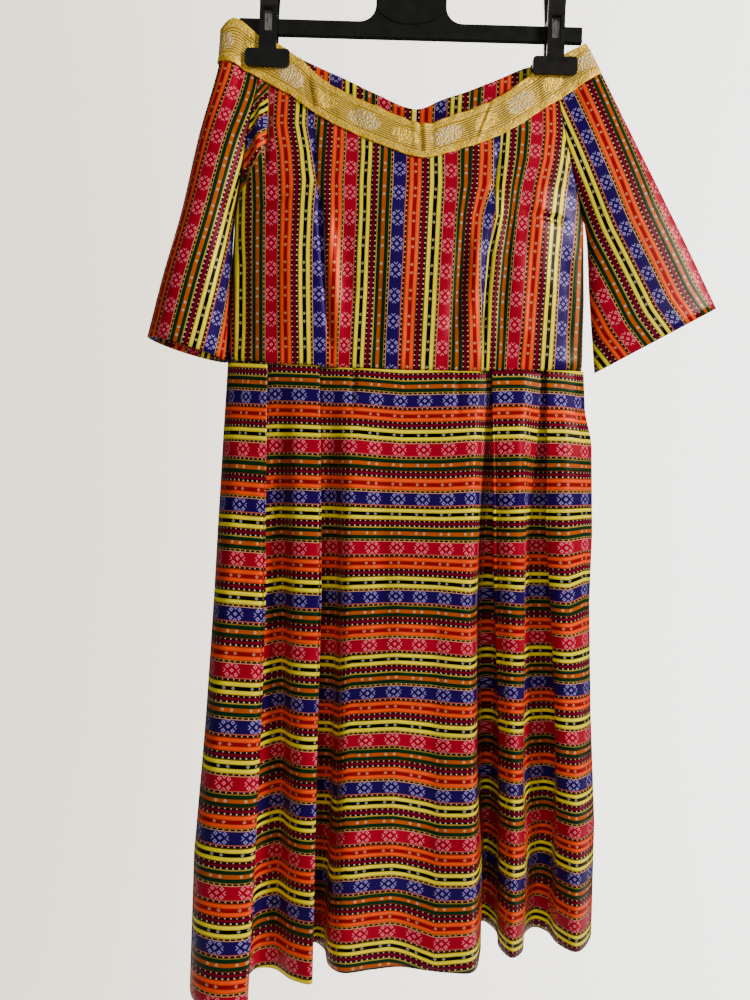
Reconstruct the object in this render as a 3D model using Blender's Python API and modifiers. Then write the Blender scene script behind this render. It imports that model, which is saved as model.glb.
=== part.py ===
"""Chut thai dress on a clip hanger: bodice, sleeves, gold neck ribbon, pleated skirt, zip and hanger.

Metres, +Z up. The dress faces -Y. The origin is the inside top of the hanger's hook.
Tables give millimetres: x to the viewer's right, forward (-Y) from the bar's middle plane,
and drop below the bar's top edge.
"""

import math
from collections import namedtuple

import bmesh
import bpy
from mathutils import Matrix, Vector

MM = 0.001
WELD = 0.01 * MM  # points closer than this become one
BAR_TOP = -110.0  # height of the bar's top edge, from the inside top of the hook

# Cloth
CLOTH = 1.2
RIBBON = 1.2
SEAM_GAP = 0.3
LAYER = 3.0  # from one layer of a pressed pleat to the next
RIBBON_WIDTH_ROWS = 2

# Bodice
WAIST_DROP = 381.0
WAIST_SAG = 8.0
ARMPIT_DROP = 216.0
SIDE_POWER = 3.0  # how squarely the bodice turns at its sides
ARMHOLE_ROWS = 4  # from the ribbon's lower edge to the level of the armpit
SIDE_ROWS = 5  # from there to the waist
BODICE_STEPS = 2  # columns for each stretch between two rows of the neckline table

# Skirt
HEM_DROP = 1022.0
SKIRT_ROWS = 10
FOLD_OPENING = 1.12  # power by which the folds open on the way down
HIP_SWELL = 7.0  # step outwards of the right side below the waist
HIP_TOP, HIP_BOTTOM = 420.0, 465.0
HIP_FROM, HIP_FULL = 150.0, 200.0  # the x from which the step grows to its full size

# Sleeves
SLEEVE_STEPS = 14  # columns over half of a sleeve
ARMHOLE_GAP = 1.4  # between the middles of two walls that meet at a slant

# Hanger
BAR = dict(length=380.0, height=17.0, depth=4.8)
LIP = dict(height=3.0, depth=6.2)
WEB = dict(half_width=39.0, fillet=18.0, top=-46.0, shoulder=-26.0)
PAD = dict(half_width=38.0, half_height=22.0, depth=6.8, drop=-20.0, segments=40)
COLLAR = dict(radius=5.0, bore=2.2, bottom=-42.0, top=-56.0, floor=-46.0)
HOOK = dict(wire=1.8, inner=18.0, shank=6.0, foot_angle=-84.0, tip_angle=205.0)
CLIP_X = (-157.0, 159.5)
JAW = dict(width=49.0, height=19.0, drop=37.0, inside=6.0, thick=3.8, corner=4.0)
STEM = dict(width=19.0, top=-12.0, overlap=6.0)
WINDOW = dict(width=9.5, top=-8.0, bottom=18.0, near=1.0, far=3.0)
LEVER = dict(length=42.0, thick=3.4, lean=13.0, root=2.0)
EAR = dict(top=2.0, bottom=15.0, clear=0.3, sunk=1.0)
LEDGE = dict(top=-4.2, bottom=-0.3, inside=0.2)
SPRING = dict(width=8.0, thick=1.0, reach=7.2, centre=-2.0, bottom=16.0)
OVERCUT = 2.0  # how far a bore runs past the face that it cuts

# Zip
ZIP_DROP = 101.0
SLIDER = dict(width=5.0, height=9.0, thick=1.8, clear=0.3, corner=1.2, lean=0.35)
BRIDGE = dict(radius=2.0, wire=0.55, rise=1.2, drop=3.0, sunk=0.6)
PULL = dict(length=15.0, width=6.4, thick=1.0, hole=1.35, rim=0.75, shoulder=2.55)

# Faces to a round
CORNER_SEGMENTS = 4
ROUND_SEGMENTS = 24
FILLET_SEGMENTS = 6
CROWN_SEGMENTS = 12
CROOK_SEGMENTS = 22
BEND_SEGMENTS = 8
WIRE_RESOLUTION = 2

# Each row of the neckline: the top edge and the ribbon's lower edge at one place round it
Edge = namedtuple("Edge", "top_x top_drop low_x low_drop")
FRONT_NECK = (
    Edge(-163, 22, -167, 66),
    Edge(-144, 30, -151, 76),
    Edge(-120, 46, -131, 87),
    Edge(-97, 66, -112, 103),
    Edge(-64, 87, -78, 124),
    Edge(-37, 99, -48, 138),
    Edge(-8, 112, -14, 152),
    Edge(17, 120, 17, 160),
    Edge(47, 109, 55, 149),
    Edge(77, 96, 88, 136),
    Edge(103, 80, 118, 119),
    Edge(131, 57, 145, 98),
    Edge(152, 41, 165, 83),
)
BACK_NECK = (
    Edge(-163, 22, -167, 66),
    Edge(-141, 32, -150, 74),
    Edge(-114, 44, -128, 82),
    Edge(-78, 59, -90, 98),
    Edge(-40, 75, -48, 115),
    Edge(9, 90, 9, 130),
    Edge(38, 80, 46, 120),
    Edge(66, 71, 76, 110),
    Edge(100, 57, 113, 95),
    Edge(132, 43, 146, 84),
    Edge(152, 41, 165, 83),
)
BACK_CENTRE = 5  # the row of BACK_NECK at the centre-back seam

# Half width of the bodice at its sides, and how far forward the front lies there and in the middle
Side = namedtuple("Side", "drop left right edge middle")
SIDES = (
    Side(22, -163, 146, 3.0, 3.1),
    Side(41, -165, 152, 3.0, 3.1),
    Side(68, -167, 160, 3.0, 3.2),
    Side(83, -169, 165, 4.4, 6.4),
    Side(100, -172, 168, 7.0, 12.0),
    Side(140, -177, 176, 11.0, 21.0),
    Side(186, -183, 188, 7.0, 29.0),
    Side(216, -187, 197, 0.75, 32.0),
    Side(300, -188, 200, 0.75, 29.0),
    Side(400, -190, 200, 0.75, 28.0),
)
WAIST_LEFT, WAIST_RIGHT = -190.0, 200.0

# Sections of the sleeves from the neckline to the hem, each from the armhole or underarm outwards:
# crown lifts the middle, flat is the share that the clip presses, front and back are the depths
Section = namedtuple("Section", "inner_x inner_drop outer_x outer_drop crown flat front back")
SLEEVE_LEFT = (
    Section(-163, 22, -209, 15, 12, 0.15, 9, 9),
    Section(-165, 43, -210, 33, 7, 0.45, 9, 9),
    Section(-167, 66, -211, 50, 2, 0.45, 11, 11),
    Section(-177, 138, -231, 133, 0, 0.0, 22, 22),
    Section(-189, 216, -248, 222, 0, 0.0, 32, 34),
    Section(-193, 298, -266, 291, 0, 0.0, 36, 40),
    Section(-197, 380, -281, 357, 0, 0.0, 38, 44),
)
SLEEVE_RIGHT = (
    Section(152, 41, 195, 18, 0, 0.72, 4.2, 4.2),
    Section(158, 62, 204, 34, 0, 0.6, 5, 5),
    Section(165, 83, 213, 50, 0, 0.4, 7, 7),
    Section(176, 146, 243, 108, 0, 0.0, 13, 13),
    Section(199, 216, 277, 172, 0, 0.0, 15, 15),
    Section(207, 300, 313, 240, 0, 0.0, 15, 16),
    Section(215, 382, 347, 307, 0, 0.0, 17, 18),
)
ARMPIT_SECTION = 4
SLEEVE_ROWS = (1, 1, 2, 2, 2, 3)  # rows of faces between one section and the next

# Vertical folds of the skirt: x and layer at the waist, x and forward at the hem
Fold = namedtuple("Fold", "waist_x layer hem_x hem_forward")
SKIRT_FRONT = (
    Fold(-190, 0, -200, 20),
    Fold(-187, 0, -201, 66),
    Fold(-180, 0, -190, 101),
    Fold(-163, 0, -162, 114),
    Fold(-144, 0, -136, 106),
    Fold(-153, 1, -143, 76),
    Fold(-152, 2, -136, 50),
    Fold(-136, 1.3, -117, 49),
    Fold(-110, 0, -97, 66),
    Fold(-88, 0, -76, 72),
    Fold(-97, 1, -84, 36),
    Fold(-96, 2, -79, 0),
    Fold(-80, 1.5, -67, 12),
    Fold(-64, 0.5, -60, 41),
    Fold(-44, 0, -46, 53),
    Fold(-14, 0, -15, 46),
    Fold(12, 0, 15, 40),
    Fold(38, 0, 43, 45),
    Fold(62, 0, 68, 48),
    Fold(80, 0.6, 91, 46),
    Fold(92, 1.6, 104, 10),
    Fold(105, 2, 114, -52),
    Fold(106, 1, 125, -32),
    Fold(97, 0, 124, 0),
    Fold(112, 0, 134, 19),
    Fold(132, 0, 147, 8),
    Fold(150, 1.5, 158, -30),
    Fold(166, 2, 171, -42),
    Fold(167, 1, 183, -34),
    Fold(158, 0, 188, -10),
    Fold(174, 0, 204, 5),
    Fold(190, 0, 223, -14),
)
SKIRT_BACK = (
    Fold(200, 0, 236, -52),
    Fold(190, 0, 227, -96),
    Fold(176, 0, 206, -117),
    Fold(156, 0, 178, -110),
    Fold(165, 1, 179, -88),
    Fold(164, 2, 168, -66),
    Fold(146, 1.2, 150, -84),
    Fold(124, 0, 131, -108),
    Fold(100, 0, 109, -92),
    Fold(109, 1, 113, -80),
    Fold(108, 2, 105, -64),
    Fold(92, 1.4, 90, -67),
    Fold(66, 0, 68, -82),
    Fold(38, 0, 40, -85),
    Fold(7, 0, 8, -73),
    Fold(-30, 0, -28, -80),
    Fold(-60, 0, -58, -74),
    Fold(-84, 1.4, -80, -36),
    Fold(-100, 2, -93, -20),
    Fold(-101, 1, -99, -44),
    Fold(-92, 0, -91, -70),
    Fold(-112, 0, -112, -60),
    Fold(-138, 1.2, -131, -26),
    Fold(-156, 2, -149, -12),
    Fold(-157, 1, -157, -36),
    Fold(-148, 0, -150, -60),
    Fold(-168, 0, -178, -50),
    Fold(-184, 0, -197, -24),
)
CENTRE_BACK_FOLD = 14  # the row of SKIRT_BACK at the centre-back seam
FOLD_STEPS = 2  # columns from one fold row to the next

# Finishes
Finish = namedtuple("Finish", "colour roughness metallic")
CRIMSON_SATIN = Finish((0.58, 0.02, 0.04), 0.42, 0.0)
ORANGE_SATIN = Finish((0.85, 0.24, 0.02), 0.42, 0.0)
GOLD_BROCADE = Finish((0.70, 0.42, 0.08), 0.38, 0.8)
BLACK_PLASTIC = Finish((0.012, 0.013, 0.014), 0.4, 0.0)
STEEL = Finish((0.62, 0.62, 0.60), 0.28, 1.0)


def place(x, forward, drop):
    """The point in metres for millimetres across, forward of the bar and below its top edge."""
    return Vector((x, -forward, BAR_TOP - drop)) * MM


def mix(a, b, share):
    """The value that lies a share of the way from a to b."""
    return a + (b - a) * share


def smooth(share):
    """A share eased in and out."""
    share = min(1.0, max(0.0, share))
    return share * share * (3.0 - 2.0 * share)


def between(rows, column, drop):
    """The value of one column of a table of drops at any drop."""
    for upper, lower in zip(rows, rows[1:]):
        if drop <= lower.drop:
            share = max(0.0, (drop - upper.drop) / (lower.drop - upper.drop))
            return mix(getattr(upper, column), getattr(lower, column), share)
    return getattr(rows[-1], column)


def curve_through(points, steps, ring=False):
    """Samples of a centripetal curve through the points, with a number of steps to each stretch."""
    count = len(points)
    stretches = count if ring else count - 1
    samples = []
    for i in range(stretches):
        if ring:
            near = [points[(i + k) % count] for k in (-1, 0, 1, 2)]
        else:
            first = points[i - 1] if i else points[0] * 2 - points[1]
            last = points[i + 2] if i + 2 < count else points[-1] * 2 - points[-2]
            near = [first, points[i], points[i + 1], last]
        knots = [0.0]
        for a, b in zip(near, near[1:]):
            knots.append(knots[-1] + max((b - a).length, 1e-6) ** 0.5)
        for step in range(steps):
            samples.append(curve_point(near, knots, mix(knots[1], knots[2], step / steps)))
    if not ring:
        samples.append(points[-1].copy())
    return samples


def curve_point(near, knots, at):
    """A point on the stretch of a centripetal curve between its two middle points."""
    level = list(near)
    for reach in (1, 2, 3):
        # The last level runs over the middle stretch alone, so its knots are the middle ones.
        span = 1 if reach == 3 else reach
        start = 1 if reach == 3 else 0
        level = [
            level[i].lerp(
                level[i + 1],
                (at - knots[i + start]) / (knots[i + start + span] - knots[i + start]),
            )
            for i in range(len(level) - 1)
        ]
    return level[0]


def front_depth(x, drop, left=None, right=None):
    """How far the bodice stands from the middle plane at this place, the same in front and behind."""
    left = between(SIDES, "left", drop) if left is None else left
    right = between(SIDES, "right", drop) if right is None else right
    across = min(1.0, abs(2.0 * (x - left) / (right - left) - 1.0))
    edge = between(SIDES, "edge", drop)
    middle = between(SIDES, "middle", drop)
    return edge + (middle - edge) * math.sqrt(max(0.0, 1.0 - across**SIDE_POWER))


def waist_drop(x):
    """Drop of the waist seam, which sags in the middle."""
    across = 2.0 * (x - WAIST_LEFT) / (WAIST_RIGHT - WAIST_LEFT) - 1.0
    return WAIST_DROP + WAIST_SAG * (1.0 - min(1.0, across * across))


def neck_columns(rows):
    """The neckline's top edge and the ribbon's lower edge as two matching smooth lines."""
    tops = curve_through([Vector((row.top_x, row.top_drop)) for row in rows], BODICE_STEPS)
    lows = curve_through([Vector((row.low_x, row.low_drop)) for row in rows], BODICE_STEPS)
    return list(zip(tops, lows))


def bodice_drop(row, start, waist):
    """Drop of a row of the bodice below the ribbon, with one row at the level of the armpit."""
    if row <= ARMHOLE_ROWS:
        return mix(start, ARMPIT_DROP, row / ARMHOLE_ROWS)
    return mix(ARMPIT_DROP, waist, (row - ARMHOLE_ROWS) / SIDE_ROWS)


def bodice_points(rows, side):
    """Rows of points of the bodice from its neckline to its waist, in front (1) or behind (-1)."""
    columns = neck_columns(rows)
    last = len(columns) - 1
    grid = []
    for row in range(RIBBON_WIDTH_ROWS + ARMHOLE_ROWS + SIDE_ROWS + 1):
        line = []
        for column, (top, low) in enumerate(columns):
            across = column / last
            if row <= RIBBON_WIDTH_ROWS:
                at = top.lerp(low, row / RIBBON_WIDTH_ROWS)
                x, drop = at.x, at.y
            else:
                waist = waist_drop(mix(WAIST_LEFT, WAIST_RIGHT, across))
                drop = bodice_drop(row - RIBBON_WIDTH_ROWS, low.y, waist)
                down = (drop - low.y) / (waist - low.y)
                left = between(SIDES, "left", drop)
                right = between(SIDES, "right", drop)
                low_left = between(SIDES, "left", low.y)
                low_right = between(SIDES, "right", low.y)
                start = (low.x - low_left) / (low_right - low_left)
                x = mix(left, right, mix(start, across, smooth(down)))
            if column == 0:
                x = between(SIDES, "left", drop)
            elif column == last:
                x = between(SIDES, "right", drop)
            line.append(place(x, side * front_depth(x, drop), drop))
        grid.append(line)
    return grid


def seam_trim(before, at, after):
    """How far each wall is drawn back from a seam, so that the gap stays open at a bend."""
    bend = (at - before).angle(after - at, 0.0)
    return (SEAM_GAP / 2 + CLOTH / 2 * math.tan(bend / 2)) * MM


def split_columns(grid, first, last, trim_first, trim_last):
    """The columns from first to last of a grid, drawn back from a seam at either end."""
    part = [[point.copy() for point in row[first : last + 1]] for row in grid]
    for whole, row in zip(grid, part):
        if trim_first:
            before = whole[first - 1] if first else whole[-2]
            row[0] += (row[1] - row[0]).normalized() * seam_trim(before, row[0], row[1])
        if trim_last:
            after = whole[last + 1] if last + 1 < len(whole) else whole[1]
            row[-1] += (row[-2] - row[-1]).normalized() * seam_trim(row[-2], row[-1], after)
    return part


def sleeve_edge(section):
    """Depth of the armhole's edge at a section, none from the armpit down."""
    if section.inner_drop >= ARMPIT_DROP:
        return 0.0
    return between(SIDES, "edge", section.inner_drop)


def sleeve_section(section, step, steps):
    """A point of a sleeve's section, from the armhole in front, round the outside, to the back."""
    around = step / steps
    side = 1.0 if around <= 0.5 else -1.0
    share = 2.0 * around if around <= 0.5 else 2.0 * (1.0 - around)
    # Columns lie closer together at both turns of the cloth.
    out = 0.5 - 0.5 * math.cos(math.pi * share)
    depth = section.front if side > 0 else section.back
    edge = sleeve_edge(section)
    grown = max(0.0, (out - section.flat) / (1.0 - section.flat))
    squared = edge**2 + (depth**2 - edge**2) * (1.0 - (1.0 - grown) ** 3)
    forward = side * math.sqrt(squared * (1.0 - out**4))
    x = mix(section.inner_x, section.outer_x, out)
    rise = section.crown * math.sin(math.pi * out**1.5)
    drop = mix(section.inner_drop, section.outer_drop, out) - rise
    return place(x, forward, drop)


def carry_edge(row, target):
    """Moves the first point of a sleeve's row to a place, and the points near it along with it."""
    shift = target - row[0]
    for column in range(SLEEVE_STEPS):
        row[column] += shift * (1.0 - column / SLEEVE_STEPS) ** 3


def sleeve_points(sections):
    """Rows of points of a sleeve from the neckline to the hem."""
    steps = 2 * SLEEVE_STEPS
    rows = []
    for column in range(steps + 1):
        line = [sleeve_section(section, column, steps) for section in sections]
        smooth_line = curve_through(line, max(SLEEVE_ROWS))
        picked = []
        for i, count in enumerate(SLEEVE_ROWS):
            for k in range(count):
                picked.append(smooth_line[i * max(SLEEVE_ROWS) + k * max(SLEEVE_ROWS) // count])
        picked.append(smooth_line[-1])
        rows.append(picked)
    grid = [list(row) for row in zip(*rows)]
    armpit = sum(SLEEVE_ROWS[:ARMPIT_SECTION])
    outwards = 1.0 if sections[0].outer_x > sections[0].inner_x else -1.0
    side_name = "right" if outwards > 0 else "left"
    low = sections[RIBBON_WIDTH_ROWS].inner_drop
    for number, row in enumerate(grid[:armpit]):
        drop = BAR_TOP - row[0].z / MM
        if number > RIBBON_WIDTH_ROWS:
            drop = bodice_drop(number - RIBBON_WIDTH_ROWS, low, WAIST_DROP)
        x = between(SIDES, side_name, drop) + outwards * ARMHOLE_GAP
        edge = between(SIDES, "edge", drop)
        carry_edge(row, place(x, edge, drop))
        row.reverse()
        carry_edge(row, place(x, -edge, drop))
        row.reverse()
    for row in grid[armpit:]:
        seam = (row[0] + row[-1]) / 2
        row[0] = seam.copy()
        row[-1] = seam.copy()
    return grid


def skirt_ring(down):
    """Samples of the whole skirt at a share of its length below the waist, and their x at the waist."""
    controls = []
    feet = []
    for side, folds in ((1.0, SKIRT_FRONT), (-1.0, SKIRT_BACK)):
        for number, fold in enumerate(folds):
            is_seam = number == 0
            waist_forward = 0.0 if is_seam else front_depth(
                fold.waist_x, WAIST_DROP, WAIST_LEFT, WAIST_RIGHT
            ) - fold.layer * LAYER
            opening = down**FOLD_OPENING
            x = mix(fold.waist_x, fold.hem_x, down)
            forward = mix(side * waist_forward, fold.hem_forward, opening)
            controls.append(Vector((x, forward)))
            feet.append(Vector((fold.waist_x, 0.0)))
    samples = curve_through(controls, FOLD_STEPS, ring=True)
    waist_x = []
    for i, foot in enumerate(feet):
        after = feet[(i + 1) % len(feet)]
        waist_x.extend(mix(foot.x, after.x, step / FOLD_STEPS) for step in range(FOLD_STEPS))
    return samples, waist_x


def skirt_points():
    """Rows of points of the whole skirt as closed rings, waist to hem."""
    rows = []
    for row in range(SKIRT_ROWS + 1):
        down = row / SKIRT_ROWS
        samples, waist_x = skirt_ring(down)
        line = []
        for sample, foot in zip(samples, waist_x):
            top = waist_drop(foot) + SEAM_GAP
            drop = mix(top, HEM_DROP, down)
            swell = HIP_SWELL * smooth((drop - HIP_TOP) / (HIP_BOTTOM - HIP_TOP))
            weight = smooth((sample.x - HIP_FROM) / (HIP_FULL - HIP_FROM)) * (1.0 - down)
            line.append(place(sample.x + swell * weight, sample.y, drop))
        rows.append(line)
    return rows


def moved_out(grid, distance, outwards):
    """The points of a grid moved along the cloth's normals, towards the given side."""
    moved = []
    rows, columns = len(grid), len(grid[0])
    for r in range(rows):
        line = []
        for c in range(columns):
            down = grid[min(r + 1, rows - 1)][c] - grid[max(r - 1, 0)][c]
            along = grid[r][min(c + 1, columns - 1)] - grid[r][max(c - 1, 0)]
            normal = along.cross(down).normalized() * outwards
            line.append(grid[r][c] + normal * distance * MM)
        moved.append(line)
    return moved


def material(name, finish):
    """A plain material of one colour, roughness and metallic value."""
    made = bpy.data.materials.new(name)
    made.use_nodes = True
    shader = made.node_tree.nodes["Principled BSDF"]
    shader.inputs["Base Color"].default_value = (*finish.colour, 1.0)
    shader.inputs["Roughness"].default_value = finish.roughness
    shader.inputs["Metallic"].default_value = finish.metallic
    return made


def add_object(name, mesh, finish, collection):
    """Links a mesh as a named object with its own material."""
    obj = bpy.data.objects.new(name, mesh)
    collection.objects.link(obj)
    mesh.materials.clear()
    mesh.materials.append(material(name + "_finish", finish))
    return obj


def cloth(name, grid, finish, collection, thickness=CLOTH, welded_from=None):
    """A cloth wall through a grid of points, with its two side edges joined from a given row down.

    Every grid runs the same way round the body, so that walls that lie on each other fold alike.
    """
    rows, columns = len(grid), len(grid[0])
    mesh = bpy.data.meshes.new(name)
    bm = bmesh.new()
    bmesh.ops.create_grid(bm, x_segments=columns - 1, y_segments=rows - 1, size=0.5)
    bm.verts.ensure_lookup_table()
    edges = []
    for vert in bm.verts:
        column = round((vert.co.x + 0.5) * (columns - 1))
        row = round((0.5 - vert.co.y) * (rows - 1))
        vert.co = grid[row][column]
        if welded_from is not None and row >= welded_from and column in (0, columns - 1):
            edges.append(vert)
    if edges:
        bmesh.ops.remove_doubles(bm, verts=edges, dist=WELD)
    bmesh.ops.triangulate(bm, faces=bm.faces[:], quad_method="FIXED")
    for face in bm.faces:
        face.smooth = True
    bm.to_mesh(mesh)
    bm.free()
    obj = add_object(name, mesh, finish, collection)
    wall = obj.modifiers.new("wall", "SOLIDIFY")
    wall.thickness = thickness * MM
    wall.offset = 0.0
    return obj


def box(name, low, high, collection, finish=BLACK_PLASTIC, corner=0.0):
    """A box object, its edges along Y rounded where a corner radius is given."""
    mesh = bpy.data.meshes.new(name)
    bm = bmesh.new()
    made = bmesh.ops.create_cube(bm, size=1.0)
    bmesh.ops.scale(bm, vec=[abs(value) for value in high - low], verts=made["verts"])
    bmesh.ops.translate(bm, vec=(high + low) / 2, verts=made["verts"])
    if corner:
        edges = [e for e in bm.edges if e.verts[0].co.y != e.verts[1].co.y]
        bmesh.ops.bevel(
            bm,
            geom=edges,
            offset=corner * MM,
            segments=CORNER_SEGMENTS,
            profile=0.5,
            affect="EDGES",
        )
    bm.to_mesh(mesh)
    bm.free()
    return add_object(name, mesh, finish, collection)


def cylinder(name, radius, start, end, collection, segments=ROUND_SEGMENTS):
    """A cylinder object from one point to another."""
    mesh = bpy.data.meshes.new(name)
    bm = bmesh.new()
    axis = end - start
    turn = Vector((0, 0, 1)).rotation_difference(axis.normalized()).to_matrix().to_4x4()
    bmesh.ops.create_cone(
        bm,
        cap_ends=True,
        segments=segments,
        radius1=radius * MM,
        radius2=radius * MM,
        depth=axis.length,
        matrix=Matrix.Translation((start + end) / 2) @ turn,
    )
    bm.to_mesh(mesh)
    bm.free()
    return add_object(name, mesh, BLACK_PLASTIC, collection)


def plate_from_outline(name, outline, depth, collection, finish=BLACK_PLASTIC):
    """A plate in the XZ plane from a closed outline, extruded to half its depth each way."""
    curve = bpy.data.curves.new(name, "CURVE")
    curve.dimensions = "2D"
    curve.fill_mode = "BOTH"
    curve.extrude = depth / 2 * MM
    spline = curve.splines.new("POLY")
    spline.points.add(len(outline) - 1)
    for point, (x, height) in zip(spline.points, outline):
        point.co = (x * MM, height * MM, 0.0, 1.0)
    spline.use_cyclic_u = True
    guide = bpy.data.objects.new(name + "_outline", curve)
    collection.objects.link(guide)
    bpy.context.view_layer.update()
    graph = bpy.context.evaluated_depsgraph_get()
    mesh = bpy.data.meshes.new_from_object(guide.evaluated_get(graph))
    bpy.data.objects.remove(guide)
    mesh.transform(Matrix.Rotation(math.radians(90), 4, "X"))
    bm = bmesh.new()
    bm.from_mesh(mesh)
    bmesh.ops.remove_doubles(bm, verts=bm.verts[:], dist=WELD)
    bmesh.ops.recalc_face_normals(bm, faces=bm.faces[:])
    bm.to_mesh(mesh)
    bm.free()
    return add_object(name, mesh, finish, collection)


def boolean(target, other, operation):
    """Adds a Boolean of another object, which becomes a hidden guide."""
    change = target.modifiers.new(operation.lower() + "_" + other.name, "BOOLEAN")
    change.operation = operation
    change.object = other
    other.hide_render = True
    other.display_type = "WIRE"


def arc(centre_x, centre_height, radius, start, end, steps):
    """Points of an arc, with angles in degrees from +X towards up."""
    points = []
    for step in range(steps + 1):
        angle = math.radians(mix(start, end, step / steps))
        points.append(
            (centre_x + radius * math.cos(angle), centre_height + radius * math.sin(angle))
        )
    return points


def build_bodice(collection):
    """The front panel and the two back panels."""
    front = bodice_points(FRONT_NECK, 1.0)
    back = bodice_points(BACK_NECK, -1.0)
    centre = BACK_CENTRE * BODICE_STEPS
    last = len(back[0]) - 1
    left = split_columns(back, 0, centre, False, True)
    right = split_columns(back, centre, last, True, False)
    left = [row[::-1] for row in left]
    right = [row[::-1] for row in right]
    cloth("bodice_front", front, CRIMSON_SATIN, collection)
    cloth("bodice_back_left", left, CRIMSON_SATIN, collection)
    cloth("bodice_back_right", right, CRIMSON_SATIN, collection)
    return front, left, right


def build_sleeves(collection):
    """Two sleeves, open along the armhole and closed below the armpit."""
    grids = {}
    welded_from = sum(SLEEVE_ROWS[:ARMPIT_SECTION])
    for name, sections in (("sleeve_left", SLEEVE_LEFT), ("sleeve_right", SLEEVE_RIGHT)):
        grids[name] = sleeve_points(sections)
        if sections is SLEEVE_LEFT:
            grids[name] = [row[::-1] for row in grids[name]]
        cloth(name, grids[name], ORANGE_SATIN, collection, welded_from=welded_from)
    return grids


def build_ribbon(front, left, right, sleeves, collection):
    """The ribbon, made from the points under it and moved out by half of both walls and a gap."""
    rows = RIBBON_WIDTH_ROWS + 1
    strip = [[] for _ in range(rows)]
    for grid in (left, sleeves["sleeve_left"], front, sleeves["sleeve_right"], right):
        for whole, row in zip(strip, grid):
            whole.extend(row[1:] if whole else row)
    outer = moved_out(strip, CLOTH / 2 + SEAM_GAP + RIBBON / 2, -1.0)
    cloth("neck_ribbon", outer, GOLD_BROCADE, collection, thickness=RIBBON)


def build_skirt(collection):
    """The front panel and the two back panels of the skirt, cut from one ring of folds."""
    grid = skirt_points()
    closed = [row + [row[0]] for row in grid]
    side_right = len(SKIRT_FRONT) * FOLD_STEPS
    centre = side_right + CENTRE_BACK_FOLD * FOLD_STEPS
    last = len(closed[0]) - 1
    pieces = (
        ("skirt_front", 0, side_right),
        ("skirt_back_right", side_right, centre),
        ("skirt_back_left", centre, last),
    )
    for name, first, end in pieces:
        cloth(name, split_columns(closed, first, end, True, True), ORANGE_SATIN, collection)


def web_outline():
    """Outline of the bar with the web that carries the hook, as x and height in millimetres."""
    half = BAR["length"] / 2
    top = BAR_TOP
    foot = top - BAR["height"]
    reach, fillet = WEB["half_width"], WEB["fillet"]
    shoulder, peak = top - WEB["shoulder"], top - WEB["top"]
    right_fillet = arc(reach + fillet, top + fillet, fillet, 270, 180, FILLET_SEGMENTS)
    crown = []
    for step in range(CROWN_SEGMENTS + 1):
        angle = math.pi * step / CROWN_SEGMENTS
        crown.append((reach * math.cos(angle), shoulder + (peak - shoulder) * math.sin(angle)))
    left_fillet = arc(-reach - fillet, top + fillet, fillet, 0, -90, FILLET_SEGMENTS)
    right_end = [(half, foot), (half, top)]
    left_end = [(-half, top), (-half, foot)]
    return [*right_end, *right_fillet, *crown, *left_fillet, *left_end]


def build_hanger(collection, guides):
    """The bar with its lip, web and pad, and the hook standing in the collar."""
    bar = plate_from_outline("hanger_bar", web_outline(), BAR["depth"], collection)
    half = BAR["length"] / 2
    foot = BAR["height"]
    lip = box(
        "lip",
        place(-half, LIP["depth"] / 2, foot),
        place(half, -LIP["depth"] / 2, foot - LIP["height"]),
        guides,
    )
    pad = cylinder("pad", 1.0, Vector((0, -1, 0)), Vector((0, 1, 0)), guides, PAD["segments"])
    squeeze = Matrix.Diagonal((PAD["half_width"], PAD["depth"] / 2 * MM, PAD["half_height"], 1.0))
    pad.data.transform(Matrix.Translation(place(0, 0, PAD["drop"])) @ squeeze)
    collar = cylinder(
        "collar",
        COLLAR["radius"],
        place(0, 0, COLLAR["bottom"]),
        place(0, 0, COLLAR["top"]),
        guides,
    )
    bore = cylinder(
        "bore",
        COLLAR["bore"],
        place(0, 0, COLLAR["floor"]),
        place(0, 0, COLLAR["top"] - OVERCUT),
        guides,
    )
    for other, operation in ((lip, "UNION"), (pad, "UNION"), (collar, "UNION"), (bore, "DIFFERENCE")):
        boolean(bar, other, operation)

    radius = HOOK["inner"] + HOOK["wire"]
    centre = -HOOK["inner"]
    stem_foot = BAR_TOP - COLLAR["floor"] + SEAM_GAP
    stem_head = centre - radius - HOOK["shank"]
    angles = HOOK["foot_angle"], HOOK["tip_angle"]
    route = [(0.0, stem_foot), (0.0, mix(stem_foot, stem_head, 0.5)), (0.0, stem_head)]
    route += arc(0.0, centre, radius, *angles, CROOK_SEGMENTS)
    curve = bpy.data.curves.new("hanger_hook", "CURVE")
    curve.dimensions = "3D"
    curve.bevel_depth = HOOK["wire"] * MM
    curve.bevel_resolution = WIRE_RESOLUTION
    curve.use_fill_caps = True
    spline = curve.splines.new("POLY")
    spline.points.add(len(route) - 1)
    for point, (x, height) in zip(spline.points, route):
        point.co = (x * MM, 0.0, height * MM, 1.0)
    curve.materials.append(material("hanger_hook_finish", STEEL))
    collection.objects.link(bpy.data.objects.new("hanger_hook", curve))


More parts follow.
